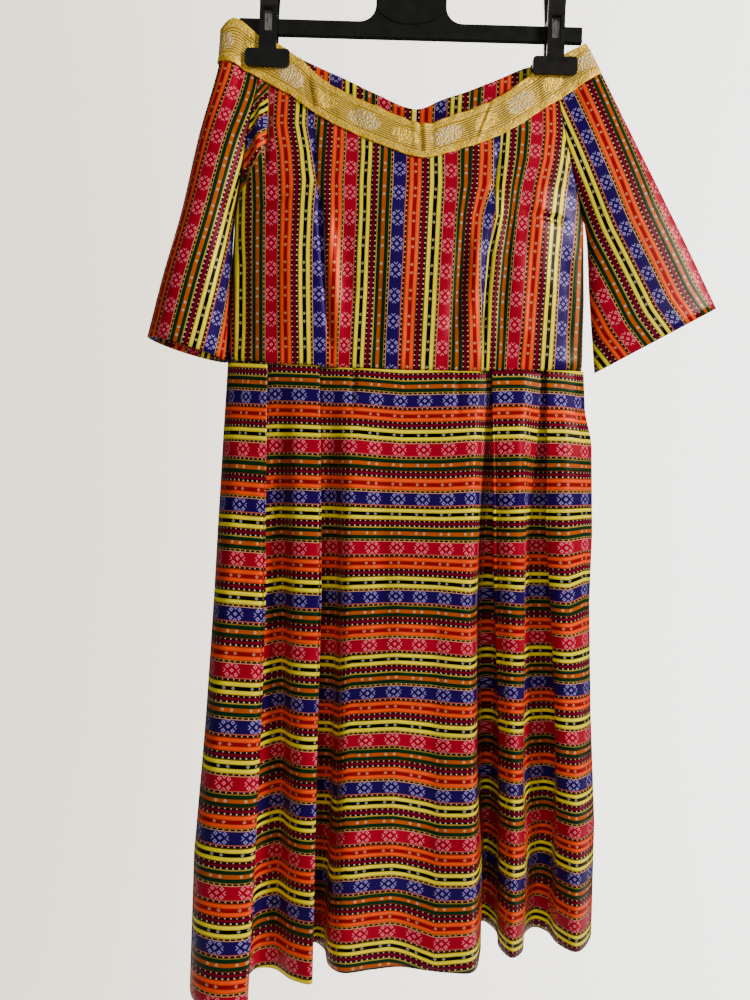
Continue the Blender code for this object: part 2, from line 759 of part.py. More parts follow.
def build_clip_half(name, centre, side, collection, guides):
    """One half of a clip: jaw, stem with its window, ledge over the bar, ear and lever."""
    inside, thick = JAW["inside"], JAW["thick"]
    near, far = side * inside, side * (inside + thick)
    half = STEM["width"] / 2
    jaw_half = JAW["width"] / 2
    jaw_foot = JAW["drop"] + JAW["height"]
    clip = box(
        name,
        place(centre - jaw_half, near, jaw_foot),
        place(centre + jaw_half, far, JAW["drop"]),
        collection,
        corner=JAW["corner"],
    )
    stem = box(
        name + "_stem",
        place(centre - half, near, JAW["drop"] + STEM["overlap"]),
        place(centre + half, far, STEM["top"]),
        guides,
    )
    ear = box(
        name + "_ear",
        place(centre - half, side * (LIP["depth"] / 2 + EAR["clear"]), EAR["bottom"]),
        place(centre + half, side * (inside + EAR["sunk"]), EAR["top"]),
        guides,
    )
    ledge = box(
        name + "_ledge",
        place(centre - half, side * LEDGE["inside"], LEDGE["bottom"]),
        place(centre + half, side * (inside + EAR["sunk"]), LEDGE["top"]),
        guides,
    )
    lever = box(
        name + "_lever",
        place(-half, -LEVER["thick"] / 2, BAR_TOP + LEVER["root"]),
        place(half, LEVER["thick"] / 2, BAR_TOP - LEVER["length"]),
        guides,
    )
    lean = Matrix.Rotation(math.radians(side * LEVER["lean"]), 4, "X")
    foot = place(centre, side * (inside + thick / 2), STEM["top"] + LEVER["root"])
    lever.data.transform(Matrix.Translation(foot) @ lean)
    window_half = WINDOW["width"] / 2
    window = box(
        name + "_window",
        place(centre - window_half, side * (inside + thick + WINDOW["far"]), WINDOW["bottom"]),
        place(centre + window_half, side * (inside - WINDOW["near"]), WINDOW["top"]),
        guides,
    )
    for other in (stem, ear, ledge, lever):
        boolean(clip, other, "UNION")
    boolean(clip, window, "DIFFERENCE")


def build_spring(name, centre, collection):
    """A bent strip that reaches over the bar, with a leg in the window of either half."""
    reach = SPRING["reach"]
    crown = arc(0.0, BAR_TOP - SPRING["centre"], reach, 0, 180, BEND_SEGMENTS)
    foot = BAR_TOP - SPRING["bottom"]
    path = [(reach, foot), *crown, (-reach, foot)]
    mesh = bpy.data.meshes.new(name)
    bm = bmesh.new()
    half = SPRING["width"] / 2
    verts = [bm.verts.new(((centre - half) * MM, y * MM, z * MM)) for y, z in path]
    edges = [bm.edges.new(pair) for pair in zip(verts, verts[1:])]
    made = bmesh.ops.extrude_edge_only(bm, edges=edges)
    moved = [item for item in made["geom"] if isinstance(item, bmesh.types.BMVert)]
    bmesh.ops.translate(bm, vec=(SPRING["width"] * MM, 0.0, 0.0), verts=moved)
    bm.to_mesh(mesh)
    bm.free()
    obj = add_object(name, mesh, STEEL, collection)
    wall = obj.modifiers.new("strip", "SOLIDIFY")
    wall.thickness = SPRING["thick"] * MM
    wall.offset = 0.0


def build_zip(collection, guides):
    """The slider at the top of the centre-back seam, and its pull tab hanging from the bridge."""
    centre = BACK_NECK[BACK_CENTRE].top_x
    cloth_face = front_depth(centre, ZIP_DROP) + CLOTH / 2 + SEAM_GAP + RIBBON
    slope = front_depth(centre, ZIP_DROP + SLIDER["height"] + PULL["length"]) - front_depth(
        centre, ZIP_DROP
    )
    near = cloth_face + slope * SLIDER["lean"] + SLIDER["clear"]
    far = near + SLIDER["thick"]
    half = SLIDER["width"] / 2
    slider = box(
        "zip_slider",
        place(centre - half, -near, ZIP_DROP + SLIDER["height"]),
        place(centre + half, -far, ZIP_DROP),
        collection,
        finish=STEEL,
        corner=SLIDER["corner"],
    )
    axis_depth = far + BRIDGE["rise"]
    axis_drop = ZIP_DROP + BRIDGE["drop"]
    bend = arc(axis_depth, BAR_TOP - axis_drop, BRIDGE["radius"], 90, -90, BEND_SEGMENTS)
    root = far - BRIDGE["sunk"]
    path = [(root, bend[0][1]), *bend, (root, bend[-1][1])]
    curve = bpy.data.curves.new("bridge", "CURVE")
    curve.dimensions = "3D"
    curve.bevel_depth = BRIDGE["wire"] * MM
    curve.bevel_resolution = WIRE_RESOLUTION
    curve.use_fill_caps = True
    spline = curve.splines.new("POLY")
    spline.points.add(len(path) - 1)
    for point, (y, height) in zip(spline.points, path):
        point.co = (centre * MM, y * MM, height * MM, 1.0)
    guide = bpy.data.objects.new("bridge_wire", curve)
    guides.objects.link(guide)
    bpy.context.view_layer.update()
    graph = bpy.context.evaluated_depsgraph_get()
    mesh = bpy.data.meshes.new_from_object(guide.evaluated_get(graph))
    bpy.data.objects.remove(guide)
    bm = bmesh.new()
    bm.from_mesh(mesh)
    bmesh.ops.remove_doubles(bm, verts=bm.verts[:], dist=WELD)
    bmesh.ops.recalc_face_normals(bm, faces=bm.faces[:])
    bm.to_mesh(mesh)
    bm.free()
    boolean(slider, add_object("bridge", mesh, STEEL, guides), "UNION")

    # The tab hangs from its rim, which lies on the joint's axis inside the bridge.
    rim, hole = PULL["rim"], PULL["hole"]
    top = BAR_TOP - axis_drop
    half = PULL["width"] / 2
    outline = arc(0.0, top - hole, PULL["shoulder"], 0, 180, BEND_SEGMENTS)
    outline += arc(0.0, top - PULL["length"] + half, half, 180, 360, BEND_SEGMENTS)
    outline = [(centre + x, height) for x, height in outline]
    pull = plate_from_outline("zip_pull", outline, PULL["thick"], collection, STEEL)
    pull.data.transform(Matrix.Translation((0.0, axis_depth * MM, 0.0)))
    eye_centre = Vector((centre, axis_depth, top - rim - hole)) * MM
    through = Vector((0.0, (PULL["thick"] / 2 + OVERCUT) * MM, 0.0))
    eye = cylinder("pull_eye", hole, eye_centre - through, eye_centre + through, guides)
    boolean(pull, eye, "DIFFERENCE")


def main():
    """Builds the dress and its hanger in an empty scene."""
    for obj in list(bpy.data.objects):
        bpy.data.objects.remove(obj)
    dress = bpy.data.collections.new("chut_thai_dress")
    guides = bpy.data.collections.new("guides")
    for collection in (dress, guides):
        bpy.context.scene.collection.children.link(collection)
    front, left, right = build_bodice(dress)
    sleeves = build_sleeves(dress)
    build_ribbon(front, left, right, sleeves, dress)
    build_skirt(dress)
    build_hanger(dress, guides)
    for side_name, centre in zip(("left", "right"), CLIP_X):
        build_clip_half(f"clip_{side_name}_front", centre, 1.0, dress, guides)
        build_clip_half(f"clip_{side_name}_back", centre, -1.0, dress, guides)
        build_spring(f"spring_{side_name}", centre, dress)
    build_zip(dress, guides)


main()
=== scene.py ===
"""Looks of the chut thai dress that hangs on its clip hanger.

Metres, +Z up. The dress faces -Y and the origin is the inside top of the hanger's hook.
Tables give millimetres: x to the viewer's right, forward (-Y) from the bar's middle plane,
and drop below the bar's top edge. A stripe number counts the pattern's repeats across the cloth.
"""

import logging
import math
from collections.abc import Sequence
from dataclasses import dataclass
from enum import Enum
from itertools import pairwise
from typing import NamedTuple

import bmesh
import bpy
import numpy as np
from mathutils import Matrix, Vector


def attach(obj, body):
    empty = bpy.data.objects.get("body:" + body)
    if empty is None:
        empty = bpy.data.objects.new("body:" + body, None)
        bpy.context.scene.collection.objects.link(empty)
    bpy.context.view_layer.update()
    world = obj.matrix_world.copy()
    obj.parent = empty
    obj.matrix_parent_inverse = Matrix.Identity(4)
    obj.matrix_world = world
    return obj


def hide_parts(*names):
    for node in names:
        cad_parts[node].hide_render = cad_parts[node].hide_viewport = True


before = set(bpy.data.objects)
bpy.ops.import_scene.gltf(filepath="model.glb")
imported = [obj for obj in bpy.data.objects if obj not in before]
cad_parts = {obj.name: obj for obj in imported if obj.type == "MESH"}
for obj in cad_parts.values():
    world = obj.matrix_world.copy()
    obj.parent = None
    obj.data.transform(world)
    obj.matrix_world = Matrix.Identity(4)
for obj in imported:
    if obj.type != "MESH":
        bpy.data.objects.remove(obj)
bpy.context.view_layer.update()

MM = 0.001
BAR_TOP = -110.0
REPEAT = 52.8  # millimetres across one big stripe and the narrow ones after it
FLOWER = 27.3  # millimetres from one flower to the next along a big stripe
ARMPIT_DROP = 216.0
ARMHOLE_GAP = 1.4  # between the middles of two walls that meet at a slant
SEAM_GAP = 0.3
SEAM_TRIM = 0.15
WAIST_LEFT, WAIST_RIGHT = -193.0, 200.0
WAIST_DROP = 381.0  # at the two sides
WAIST_SAG = 8.0
RIBBON_WIDTH = 40.0
RIBBON_PITCH = 91.5  # millimetres from one silver flower to the next along the ribbon
LOG = logging.getLogger("dress")

Colour = tuple[float, float, float]
Socket = bpy.types.NodeSocket


class Edge(NamedTuple):
    """The neckline's top edge and the ribbon's lower edge at one place round it."""

    top_x: float
    top_drop: float
    low_x: float
    low_drop: float


class Side(NamedTuple):
    """The bodice's two sides at a drop, and how far forward its edge and its middle lie."""

    drop: float
    left: float
    right: float
    edge: float
    middle: float


class Section(NamedTuple):
    """One section of a sleeve, from the armhole or underarm outwards."""

    inner_x: float
    inner_drop: float
    outer_x: float
    outer_drop: float
    crown: float
    flat: float
    front: float
    back: float


class Fold(NamedTuple):
    """A vertical fold of the skirt: x and layer at the waist, x and forward at the hem."""

    waist_x: float
    layer: float
    hem_x: float
    hem_forward: float


class Crease(NamedTuple):
    """A soft ridge, or a trough where the height is below zero, from one place to another."""

    x: float
    drop: float
    end_x: float
    end_drop: float
    width: float
    height: float


class Track(NamedTuple):
    """A line down the bodice that follows one stripe: its x and stripe number at each level."""

    xs: tuple[float, ...]
    stripes: tuple[float, ...]


FRONT_NECK = (
    Edge(-163, 22, -167, 66),
    Edge(-144, 30, -151, 76),
    Edge(-120, 46, -131, 87),
    Edge(-97, 66, -112, 103),
    Edge(-64, 87, -78, 124),
    Edge(-37, 99, -48, 138),
    Edge(-8, 112, -14, 152),
    Edge(17, 120, 17, 160),
    Edge(47, 109, 55, 149),
    Edge(77, 96, 88, 136),
    Edge(103, 80, 118, 119),
    Edge(131, 57, 145, 98),
    Edge(152, 41, 165, 83),
)
BACK_NECK = (
    Edge(-163, 22, -167, 66),
    Edge(-141, 32, -150, 74),
    Edge(-114, 44, -128, 82),
    Edge(-78, 59, -90, 98),
    Edge(-40, 75, -48, 115),
    Edge(9, 90, 9, 130),
    Edge(38, 80, 46, 120),
    Edge(66, 71, 76, 110),
    Edge(100, 57, 113, 95),
    Edge(132, 43, 146, 84),
    Edge(152, 41, 165, 83),
)
BACK_CENTRE = 5
BACK_SEAM_FOOT = 5.0  # where the centre-back seam meets the waist, across
BACK_SEAM_RUN = 250.0  # millimetres down over which it leans
SIDES = (
    Side(22, -163, 146, 3.0, 3.1),
    Side(41, -165, 152, 3.0, 3.1),
    Side(68, -167, 160, 3.0, 3.2),
    Side(83, -169, 165, 4.4, 6.4),
    Side(100, -172, 168, 7.0, 12.0),
    Side(140, -177, 176, 11.0, 21.0),
    Side(186, -183, 188, 7.0, 29.0),
    Side(216, -188, 197, 0.75, 32.0),
    Side(300, -191.5, 200, 0.75, 29.0),
    Side(400, -193, 200, 0.75, 28.0),
)
SLEEVE_LEFT = (
    Section(-163, 22, -209, 15, 12, 0.15, 9, 9),
    Section(-165, 43, -210, 33, 7, 0.45, 9, 9),
    Section(-167, 66, -211, 50, 2, 0.45, 11, 11),
    Section(-177, 138, -231, 133, 0, 0.0, 22, 22),
    Section(-189.3, 216, -248, 222, 0, 0.0, 32, 34),
    Section(-192.3, 298, -266, 291, 0, 0.0, 36, 40),
    Section(-193.9, 380, -281, 357, 0, 0.0, 38, 44),
)
SLEEVE_RIGHT = (
    Section(152, 41, 195, 18, 0, 0.72, 4.2, 4.2),
    Section(158, 62, 204, 34, 0, 0.6, 5, 5),
    Section(165, 83, 213, 50, 0, 0.4, 7, 7),
    Section(176, 146, 243, 108, 0, 0.0, 13, 13),
    Section(199, 216, 277, 172, 0, 0.0, 15, 15),
    Section(207, 300, 313, 240, 0, 0.0, 15, 16),
    Section(215, 382, 347, 307, 0, 0.0, 17, 18),
)
SKIRT_FRONT = (
    Fold(-193, 0, -200, 20),
    Fold(-190, 0, -201, 66),
    Fold(-182, 0, -190, 101),
    Fold(-163, 0, -162, 114),
    Fold(-144, 0, -136, 106),
    Fold(-153, 1, -143, 76),
    Fold(-152, 2, -136, 50),
    Fold(-136, 1.3, -117, 49),
    Fold(-110, 0, -97, 66),
    Fold(-88, 0, -76, 72),
    Fold(-97, 1, -84, 36),
    Fold(-96, 2, -79, 0),
    Fold(-80, 1.5, -67, 12),
    Fold(-64, 0.5, -60, 41),
    Fold(-44, 0, -46, 53),
    Fold(-14, 0, -15, 46),
    Fold(12, 0, 15, 40),
    Fold(38, 0, 43, 45),
    Fold(62, 0, 68, 48),
    Fold(80, 0.6, 91, 46),
    Fold(92, 1.6, 104, 10),
    Fold(105, 2, 114, -52),
    Fold(106, 1, 125, -32),
    Fold(97, 0, 124, 0),
    Fold(112, 0, 134, 19),
    Fold(132, 0, 147, 8),
    Fold(150, 1.5, 158, -30),
    Fold(166, 2, 171, -42),
    Fold(167, 1, 183, -34),
    Fold(158, 0, 188, -10),
    Fold(174, 0, 204, 5),
    Fold(190, 0, 223, -14),
)
SKIRT_BACK = (
    Fold(200, 0, 236, -52),
    Fold(190, 0, 227, -96),
    Fold(176, 0, 206, -117),
    Fold(156, 0, 178, -110),
    Fold(165, 1, 179, -88),
    Fold(164, 2, 168, -66),
    Fold(146, 1.2, 150, -84),
    Fold(124, 0, 131, -108),
    Fold(100, 0, 109, -92),
    Fold(109, 1, 113, -80),
    Fold(108, 2, 105, -64),
    Fold(92, 1.4, 90, -67),
    Fold(66, 0, 68, -82),
    Fold(38, 0, 40, -85),
    Fold(7, 0, 8, -73),
    Fold(-30, 0, -28, -80),
    Fold(-60, 0, -58, -74),
    Fold(-84, 1.4, -80, -36),
    Fold(-100, 2, -93, -20),
    Fold(-101, 1, -99, -44),
    Fold(-92, 0, -91, -70),
    Fold(-112, 0, -112, -60),
    Fold(-138, 1.2, -131, -26),
    Fold(-156, 2, -149, -12),
    Fold(-157, 1, -157, -36),
    Fold(-148, 0, -150, -60),
    Fold(-168, 0, -178, -50),
    Fold(-184, 0, -197, -24),
)
CENTRE_BACK_FOLD = 14

# Where the stripes run down the front of the bodice, at seven drops. Each dart takes in cloth.
LEVELS = (122.0, 155.0, 188.0, 222.0, 262.0, 305.0, 378.0)
DART_LEFT = (-103.0, -98.0, -98.0, -89.0, -84.0, -82.0, -79.0)
DART_RIGHT = (101.0, 99.0, 93.0, 96.0, 88.0, 86.0, 85.0)
DART_WIDTH = 0.5
BODICE_TRACKS = (
    Track((-175, -179, -183.5, -187, -187.5, -188, -190), (2.73, 2.55, 2.41, 2.32, 2.30, 2.27, 2.19)),
    Track((-155, -150, -147, -146, -145, -144, -142), (3.113,) * 7),
    Track((-118, -111, -107, -108, -109, -108, -105), (3.819,) * 7),
    Track(DART_LEFT, (4.18, 4.17, 3.99, 4.22, 4.30, 4.30, 4.30)),
    Track(tuple(x + DART_WIDTH for x in DART_LEFT), (4.25, 4.38, 4.38, 4.54, 4.66, 4.71, 4.74)),
    Track((-62, -61, -62, -61, -62, -62, -64), (5.113,) * 7),
    Track((-9, -9, -9, -10, -10, -11, -12), (6.113,) * 7),
    Track((47, 46, 47, 46, 45, 44, 42), (7.113,) * 7),
    Track((84, 84, 82, 75, 74, 73, 78), (7.819,) * 7),
    Track(DART_RIGHT, (8.17, 8.12, 7.99, 8.31, 8.20, 8.06, 7.95)),
    Track(tuple(x + DART_WIDTH for x in DART_RIGHT), (8.36, 8.36, 8.27, 8.35, 8.345, 8.365, 8.345)),
    Track((140, 137, 129, 124, 122, 120, 117), (9.113,) * 7),
    Track((172, 180, 189, 197.3, 198.7, 200, 200), (9.75, 10.0, 10.29, 10.49, 10.56, 10.59, 10.62)),
)


def mix(a: float, b: float, share: float) -> float:
    """The value a share of the way from a to b."""
    return a + (b - a) * share


def ease(share: np.ndarray) -> np.ndarray:
    """A share eased in and out, held between 0 and 1."""
    share = np.clip(share, 0.0, 1.0)
    return share * share * (3.0 - 2.0 * share)


def place(x: np.ndarray, forward: np.ndarray, drop: np.ndarray) -> np.ndarray:
    """Points in metres for millimetres across, forward and down from the bar's top edge."""
    x, forward, drop = np.broadcast_arrays(x, forward, drop)
    return np.stack((x, -forward, BAR_TOP - drop), axis=-1) * MM


def side_value(column: str, drop: np.ndarray) -> np.ndarray:
    """One column of the bodice's sides at any drop."""
    return np.interp(drop, [s.drop for s in SIDES], [getattr(s, column) for s in SIDES])


def curve_through(points: np.ndarray, steps: int, ring: bool = False) -> np.ndarray:
    """Samples a centripetal curve through the points along the first axis.

    Args:
        points: Control points, first axis along the curve, last axis the coordinates.
        steps: Samples to each stretch between two control points.
        ring: Whether the curve closes on its first point.

    Returns:
        The samples, along the first axis.
    """
    count = len(points)
    if ring:
        padded = np.concatenate((points[-1:], points, points[:2]))
        stretches = count
    else:
        padded = np.concatenate((2 * points[:1] - points[1:2], points, 2 * points[-1:] - points[-2:-1]))
        stretches = count - 1
    near = [padded[k : k + stretches] for k in range(4)]
    knots = [np.zeros(near[0].shape[:-1] + (1,))]
    for a, b in pairwise(near):
        gap = np.linalg.norm(b - a, axis=-1, keepdims=True)
        knots.append(knots[-1] + np.sqrt(np.maximum(gap, 1e-6)))
    samples = []
    for step in range(steps):
        at = knots[1] + (knots[2] - knots[1]) * step / steps
        a = [
            near[i] + (near[i + 1] - near[i]) * (at - knots[i]) / (knots[i + 1] - knots[i])
            for i in range(3)
        ]
        b = [
            a[i] + (a[i + 1] - a[i]) * (at - knots[i]) / (knots[i + 2] - knots[i])
            for i in range(2)
        ]
        samples.append(b[0] + (b[1] - b[0]) * (at - knots[1]) / (knots[2] - knots[1]))
    merged = np.stack(samples, axis=1).reshape((stretches * steps,) + points.shape[1:])
    return merged if ring else np.concatenate((merged, points[-1:]))


def neck_line(neck: tuple[Edge, ...], steps: int, low: bool = False) -> np.ndarray:
    """The neckline's top edge, or the ribbon's lower edge, as a smooth line across and down."""
    points = [(edge.low_x, edge.low_drop) if low else (edge.top_x, edge.top_drop) for edge in neck]
    return curve_through(np.array(points, float), steps)


def bodice_depth(x: np.ndarray, drop: np.ndarray) -> np.ndarray:
    """How far the bodice stands from the middle plane, the same in front and behind.

    Args:
        x: Places across.
        drop: How far down they lie.

    Returns:
        The depth in millimetres at each place.
    """
    left, right = side_value("left", drop), side_value("right", drop)
    across = np.minimum(1.0, np.abs(2.0 * (x - left) / (right - left) - 1.0))
    edge, middle = side_value("edge", drop), side_value("middle", drop)
    return edge + (middle - edge) * np.sqrt(np.maximum(0.0, 1.0 - across**3))


def waist_drop(x: np.ndarray) -> np.ndarray:
    """Drop of the waist seam, which sags in the middle."""
    across = 2.0 * (x - WAIST_LEFT) / (WAIST_RIGHT - WAIST_LEFT) - 1.0
    return WAIST_DROP + WAIST_SAG * (1.0 - np.minimum(1.0, across * across))


def back_seam(drop: np.ndarray) -> np.ndarray:
    """Where the centre-back seam lies across, which leans a little on its way down."""
    top = BACK_NECK[BACK_CENTRE]
    return mix(top.top_x, BACK_SEAM_FOOT, ease((drop - top.low_drop) / BACK_SEAM_RUN))


def normals_of(points: np.ndarray) -> np.ndarray:
    """Unit normals of a grid of points, towards the outside of the garment.

    Args:
        points: Rows by columns by three.

    Returns:
        A normal for each point.
    """
    down = np.gradient(points, axis=0)
    along = np.gradient(points, axis=1)
    normal = np.cross(down, along)
    return normal / np.maximum(np.linalg.norm(normal, axis=-1, keepdims=True), 1e-12)


def crease_height(creases: Sequence[Crease], x: np.ndarray, drop: np.ndarray) -> np.ndarray:
    """Height in millimetres that soft creases add at each place.

    Args:
        creases: The ridges and troughs.
        x: Where each point lies across.
        drop: How far down each point lies.

    Returns:
        The summed height, which fades towards the ends of each crease.
    """
    total = np.zeros(np.broadcast(x, drop).shape)
    for crease in creases:
        run = np.array((crease.end_x - crease.x, crease.end_drop - crease.drop))
        length = float(np.hypot(*run))
        run = run / length
        along = ((x - crease.x) * run[0] + (drop - crease.drop) * run[1]) / length
        off = (x - crease.x) * run[1] - (drop - crease.drop) * run[0]
        fade = ease(along / 0.3) * ease((1.0 - along) / 0.3)
        total += crease.height * fade * np.exp(-((off / crease.width) ** 2))
    return total


@dataclass
class ClothGrid:
    """Rows of points of one panel of cloth, with a stripe number and a length along the stripes.

    Attributes:
        points: Rows by columns by three, in metres.
        stripe: The stripe number at each point.
        along: Millimetres along the stripes at each point.
    """

    points: np.ndarray
    stripe: np.ndarray
    along: np.ndarray

    def raised(self, height: np.ndarray) -> "ClothGrid":
        """The same panel with each point moved out by a height in millimetres."""
        moved = self.points + normals_of(self.points) * (height * MM)[..., None]
        return ClothGrid(moved, self.stripe, self.along)

    def turned(self) -> "ClothGrid":
        """The same panel with its columns in the other order."""
        return ClothGrid(self.points[:, ::-1], self.stripe[:, ::-1], self.along[:, ::-1])

    def columns(self, first: int, last: int) -> "ClothGrid":
        """The columns from first to last, both kept."""
        cut = slice(first, last + 1)
        return ClothGrid(self.points[:, cut], self.stripe[:, cut], self.along[:, cut])


def cloth_mesh(name: str, grid: ClothGrid, weld_from: int | None = None) -> bpy.types.Object:
    """Makes a panel's surface from a grid of faces, with its pattern in a UV map.

    Args:
        name: The piece's name.
        grid: The panel's points and pattern.
        weld_from: The row from which the two side edges are joined, or None.

    Returns:
        The new object, without its wall.
    """
    rows, columns = grid.stripe.shape
    mesh = bpy.data.meshes.new(name)
    bm = bmesh.new()
    bmesh.ops.create_grid(bm, x_segments=columns - 1, y_segments=rows - 1, size=0.5)
    pattern = bm.loops.layers.uv.new("pattern")
    bm.verts.ensure_lookup_table()
    places = {}
    edges = []
    for vert in bm.verts:
        column = round((vert.co.x + 0.5) * (columns - 1))
        row = round((0.5 - vert.co.y) * (rows - 1))
        places[vert] = (row, column)
        if weld_from is not None and row >= weld_from and column in (0, columns - 1):
            edges.append(vert)
    for face in bm.faces:
        face.smooth = True
        for loop in face.loops:
            at = places[loop.vert]
            loop[pattern].uv = (grid.stripe[at] * REPEAT * MM, grid.along[at] * MM)
    for vert, at in places.items():
        vert.co = grid.points[at]
    if edges:
        bmesh.ops.remove_doubles(bm, verts=edges, dist=0.0001)
    bm.to_mesh(mesh)
    bm.free()
    obj = bpy.data.objects.new(name, mesh)
    bpy.context.scene.collection.objects.link(obj)
    return obj


def give_wall(obj: bpy.types.Object, thickness: float) -> None:
    """Gives a panel its wall, half to either side.

    Args:
        obj: The panel.
        thickness: The wall in millimetres.
    """
    wall = obj.modifiers.new("wall", "SOLIDIFY")
    wall.thickness = thickness * MM
    wall.offset = 0.0
    wall.use_even_offset = False


class Nodes:
    """Adds shader nodes to one material and joins them."""

    def __init__(self, name: str) -> None:
        """Makes the material with its Principled shader.

        Args:
            name: The material's name.
        """
        self.material = bpy.data.materials.new(name)
        self.material.use_nodes = True
        self.tree = self.material.node_tree
        self.shader = self.tree.nodes["Principled BSDF"]

    def join(self, value: Socket | float, socket: Socket) -> None:
        """Links a socket, or sets a number.

        Args:
            value: The socket or the number.
            socket: Where it goes.
        """
        if isinstance(value, bpy.types.NodeSocket):
            self.tree.links.new(value, socket)
        else:
            socket.default_value = value

    def math(self, operation: str, *values: Socket | float) -> Socket:
        """Adds a Math node.

        Args:
            operation: The node's operation.
            values: One to three values.

        Returns:
            The result.
        """
        node = self.tree.nodes.new("ShaderNodeMath")
        node.operation = operation
        for value, socket in zip(values, node.inputs):
            self.join(value, socket)
        return node.outputs[0]

    def add(self, a: Socket | float, b: Socket | float) -> Socket:
        """The sum of two values."""
        return self.math("ADD", a, b)

    def times(self, a: Socket | float, b: Socket | float) -> Socket:
        """The product of two values."""
        return self.math("MULTIPLY", a, b)

    def most(self, *values: Socket) -> Socket:
        """The greatest of several values.

        Args:
            values: The values, one or more.

        Returns:
            The greatest.
        """
        best = values[0]
        for value in values[1:]:
            best = self.math("MAXIMUM", best, value)
        return best

    def within(self, value: Socket, low: float, high: float) -> Socket:
        """1 where a value lies between two limits, else 0."""
        return self.times(self.math("GREATER_THAN", value, low), self.math("LESS_THAN", value, high))

    def steps(
        self, value: Socket, stops: Sequence[tuple[float, Colour]], kind: str = "CONSTANT"
    ) -> Socket:
        """A colour ramp's colour for a value.

        Args:
            value: The value from 0 to 1.
            stops: Places and their colours.
            kind: How the ramp fills in between.

        Returns:
            The colour socket.
        """
        node = self.tree.nodes.new("ShaderNodeValToRGB")
        node.color_ramp.interpolation = kind
        elements = node.color_ramp.elements
        while len(elements) > 1:
            elements.remove(elements[-1])
        elements[0].position = stops[0][0]
        elements[0].color = (*stops[0][1], 1.0)
        for at, colour in stops[1:]:
            elements.new(at).color = (*colour, 1.0)
        self.join(value, node.inputs[0])
        return node.outputs[0]

    def fade(self, value: Socket, low: float, dark: Colour, high: float, light: Colour) -> Socket:
        """A tone that goes evenly from dark to light between two values."""
        return self.steps(value, ((low, dark), (high, light)), "LINEAR")

    def blend(
        self, share: Socket | float, a: Socket | Colour, b: Socket | Colour, how: str = "MIX"
    ) -> Socket:
        """One colour mixed into another.

        Args:
            share: How much of b is mixed in.
            a: The colour below.
            b: The colour above.
            how: The mix's blend type.

        Returns:
            The colour socket.
        """
        node = self.tree.nodes.new("ShaderNodeMix")
        node.data_type = "RGBA"
        node.blend_type = how
        self.join(share, node.inputs[0])
        for value, socket in ((a, node.inputs[6]), (b, node.inputs[7])):
            if isinstance(value, tuple):
                value = (*value, 1.0)
            self.join(value, socket)
        return node.outputs[2]

    def split(self, socket: Socket) -> tuple[Socket, Socket, Socket]:
        """The three parts of a vector.

        Args:
            socket: The vector.

        Returns:
            Its x, y and z.
        """
        node = self.tree.nodes.new("ShaderNodeSeparateXYZ")
        self.join(socket, node.inputs[0])
        return node.outputs[0], node.outputs[1], node.outputs[2]

    def uv(self) -> Socket:
        """The piece's own pattern map, whose first part lies across the stripes.

        Returns:
            The map's vector, in metres.
        """
        node = self.tree.nodes.new("ShaderNodeUVMap")
        node.uv_map = "pattern"
        return node.outputs[0]

    def place(self) -> Socket:
        """Object coordinates."""
        return self.tree.nodes.new("ShaderNodeTexCoord").outputs["Object"]

    def noise(
        self, vector: Socket, scale: float, detail: float = 3.0, squeeze: Colour = (1, 1, 1)
    ) -> Socket:
        """Adds a noise.

        Args:
            vector: Where it is read.
            scale: Its lumps to a metre.
            detail: How many finer layers it has.
            squeeze: A factor along each axis, below 1 where the lumps are drawn out.

        Returns:
            A value of about 0.5, from 0 to 1.
        """
        mapping = self.tree.nodes.new("ShaderNodeMapping")
        mapping.inputs["Scale"].default_value = squeeze
        self.join(vector, mapping.inputs[0])
        node = self.tree.nodes.new("ShaderNodeTexNoise")
        node.inputs["Scale"].default_value = scale
        node.inputs["Detail"].default_value = detail
        self.join(mapping.outputs[0], node.inputs["Vector"])
        return node.outputs["Fac"]

    def bump(self, height: Socket, distance: float, strength: float = 1.0) -> None:
        """Adds a relief to the shader's normal.

        Args:
            height: The relief from 0 to 1 or a little beyond.
            distance: Metres for a height of 1.
            strength: How much of it shows.
        """
        node = self.tree.nodes.new("ShaderNodeBump")
        node.inputs["Distance"].default_value = distance
        node.inputs["Strength"].default_value = strength
        self.join(height, node.inputs["Height"])
        self.join(node.outputs[0], self.shader.inputs["Normal"])


def from_srgb(red: float, green: float, blue: float) -> Colour:
    """A linear colour from screen values.

    Args:
        red: From 0 to 255.
        green: From 0 to 255.
        blue: From 0 to 255.

    Returns:
        The colour's three parts, from 0 to 1.
    """
    made = []
    for value in (red, green, blue):
        share = value / 255.0
        made.append(share / 12.92 if share <= 0.04045 else ((share + 0.055) / 1.055) ** 2.4)
    return made[0], made[1], made[2]


def grey(value: float) -> Colour:
    """A linear grey."""
    return value, value, value


class Dye(Enum):
    """The cloth's colours."""

    CRIMSON = from_srgb(160, 0, 40)
    VIOLET = from_srgb(28, 4, 84)
    ORANGE = from_srgb(255, 78, 0)
    SCARLET = from_srgb(172, 2, 0)
    YELLOW = from_srgb(255, 238, 0)
    BLACK = from_srgb(9, 5, 4)
    GREEN = from_srgb(6, 46, 26)
    OCHRE = from_srgb(224, 100, 0)
    MAROON = from_srgb(112, 0, 36)
    TAN = from_srgb(226, 170, 120)
    MAUVE = from_srgb(178, 92, 78)
    RUST = from_srgb(170, 60, 4)
    OLIVE = from_srgb(176, 150, 52)
    MOSS = from_srgb(104, 82, 6)
    DASH = from_srgb(16, 2, 3)
    BROWN = from_srgb(96, 34, 16)
    PALE = from_srgb(240, 216, 184)
    LILAC = from_srgb(148, 136, 206)
    PINK = from_srgb(240, 120, 140)
    BLUSH = from_srgb(255, 188, 160)
    SILK = from_srgb(214, 212, 198)
    CREAM = from_srgb(255, 234, 196)


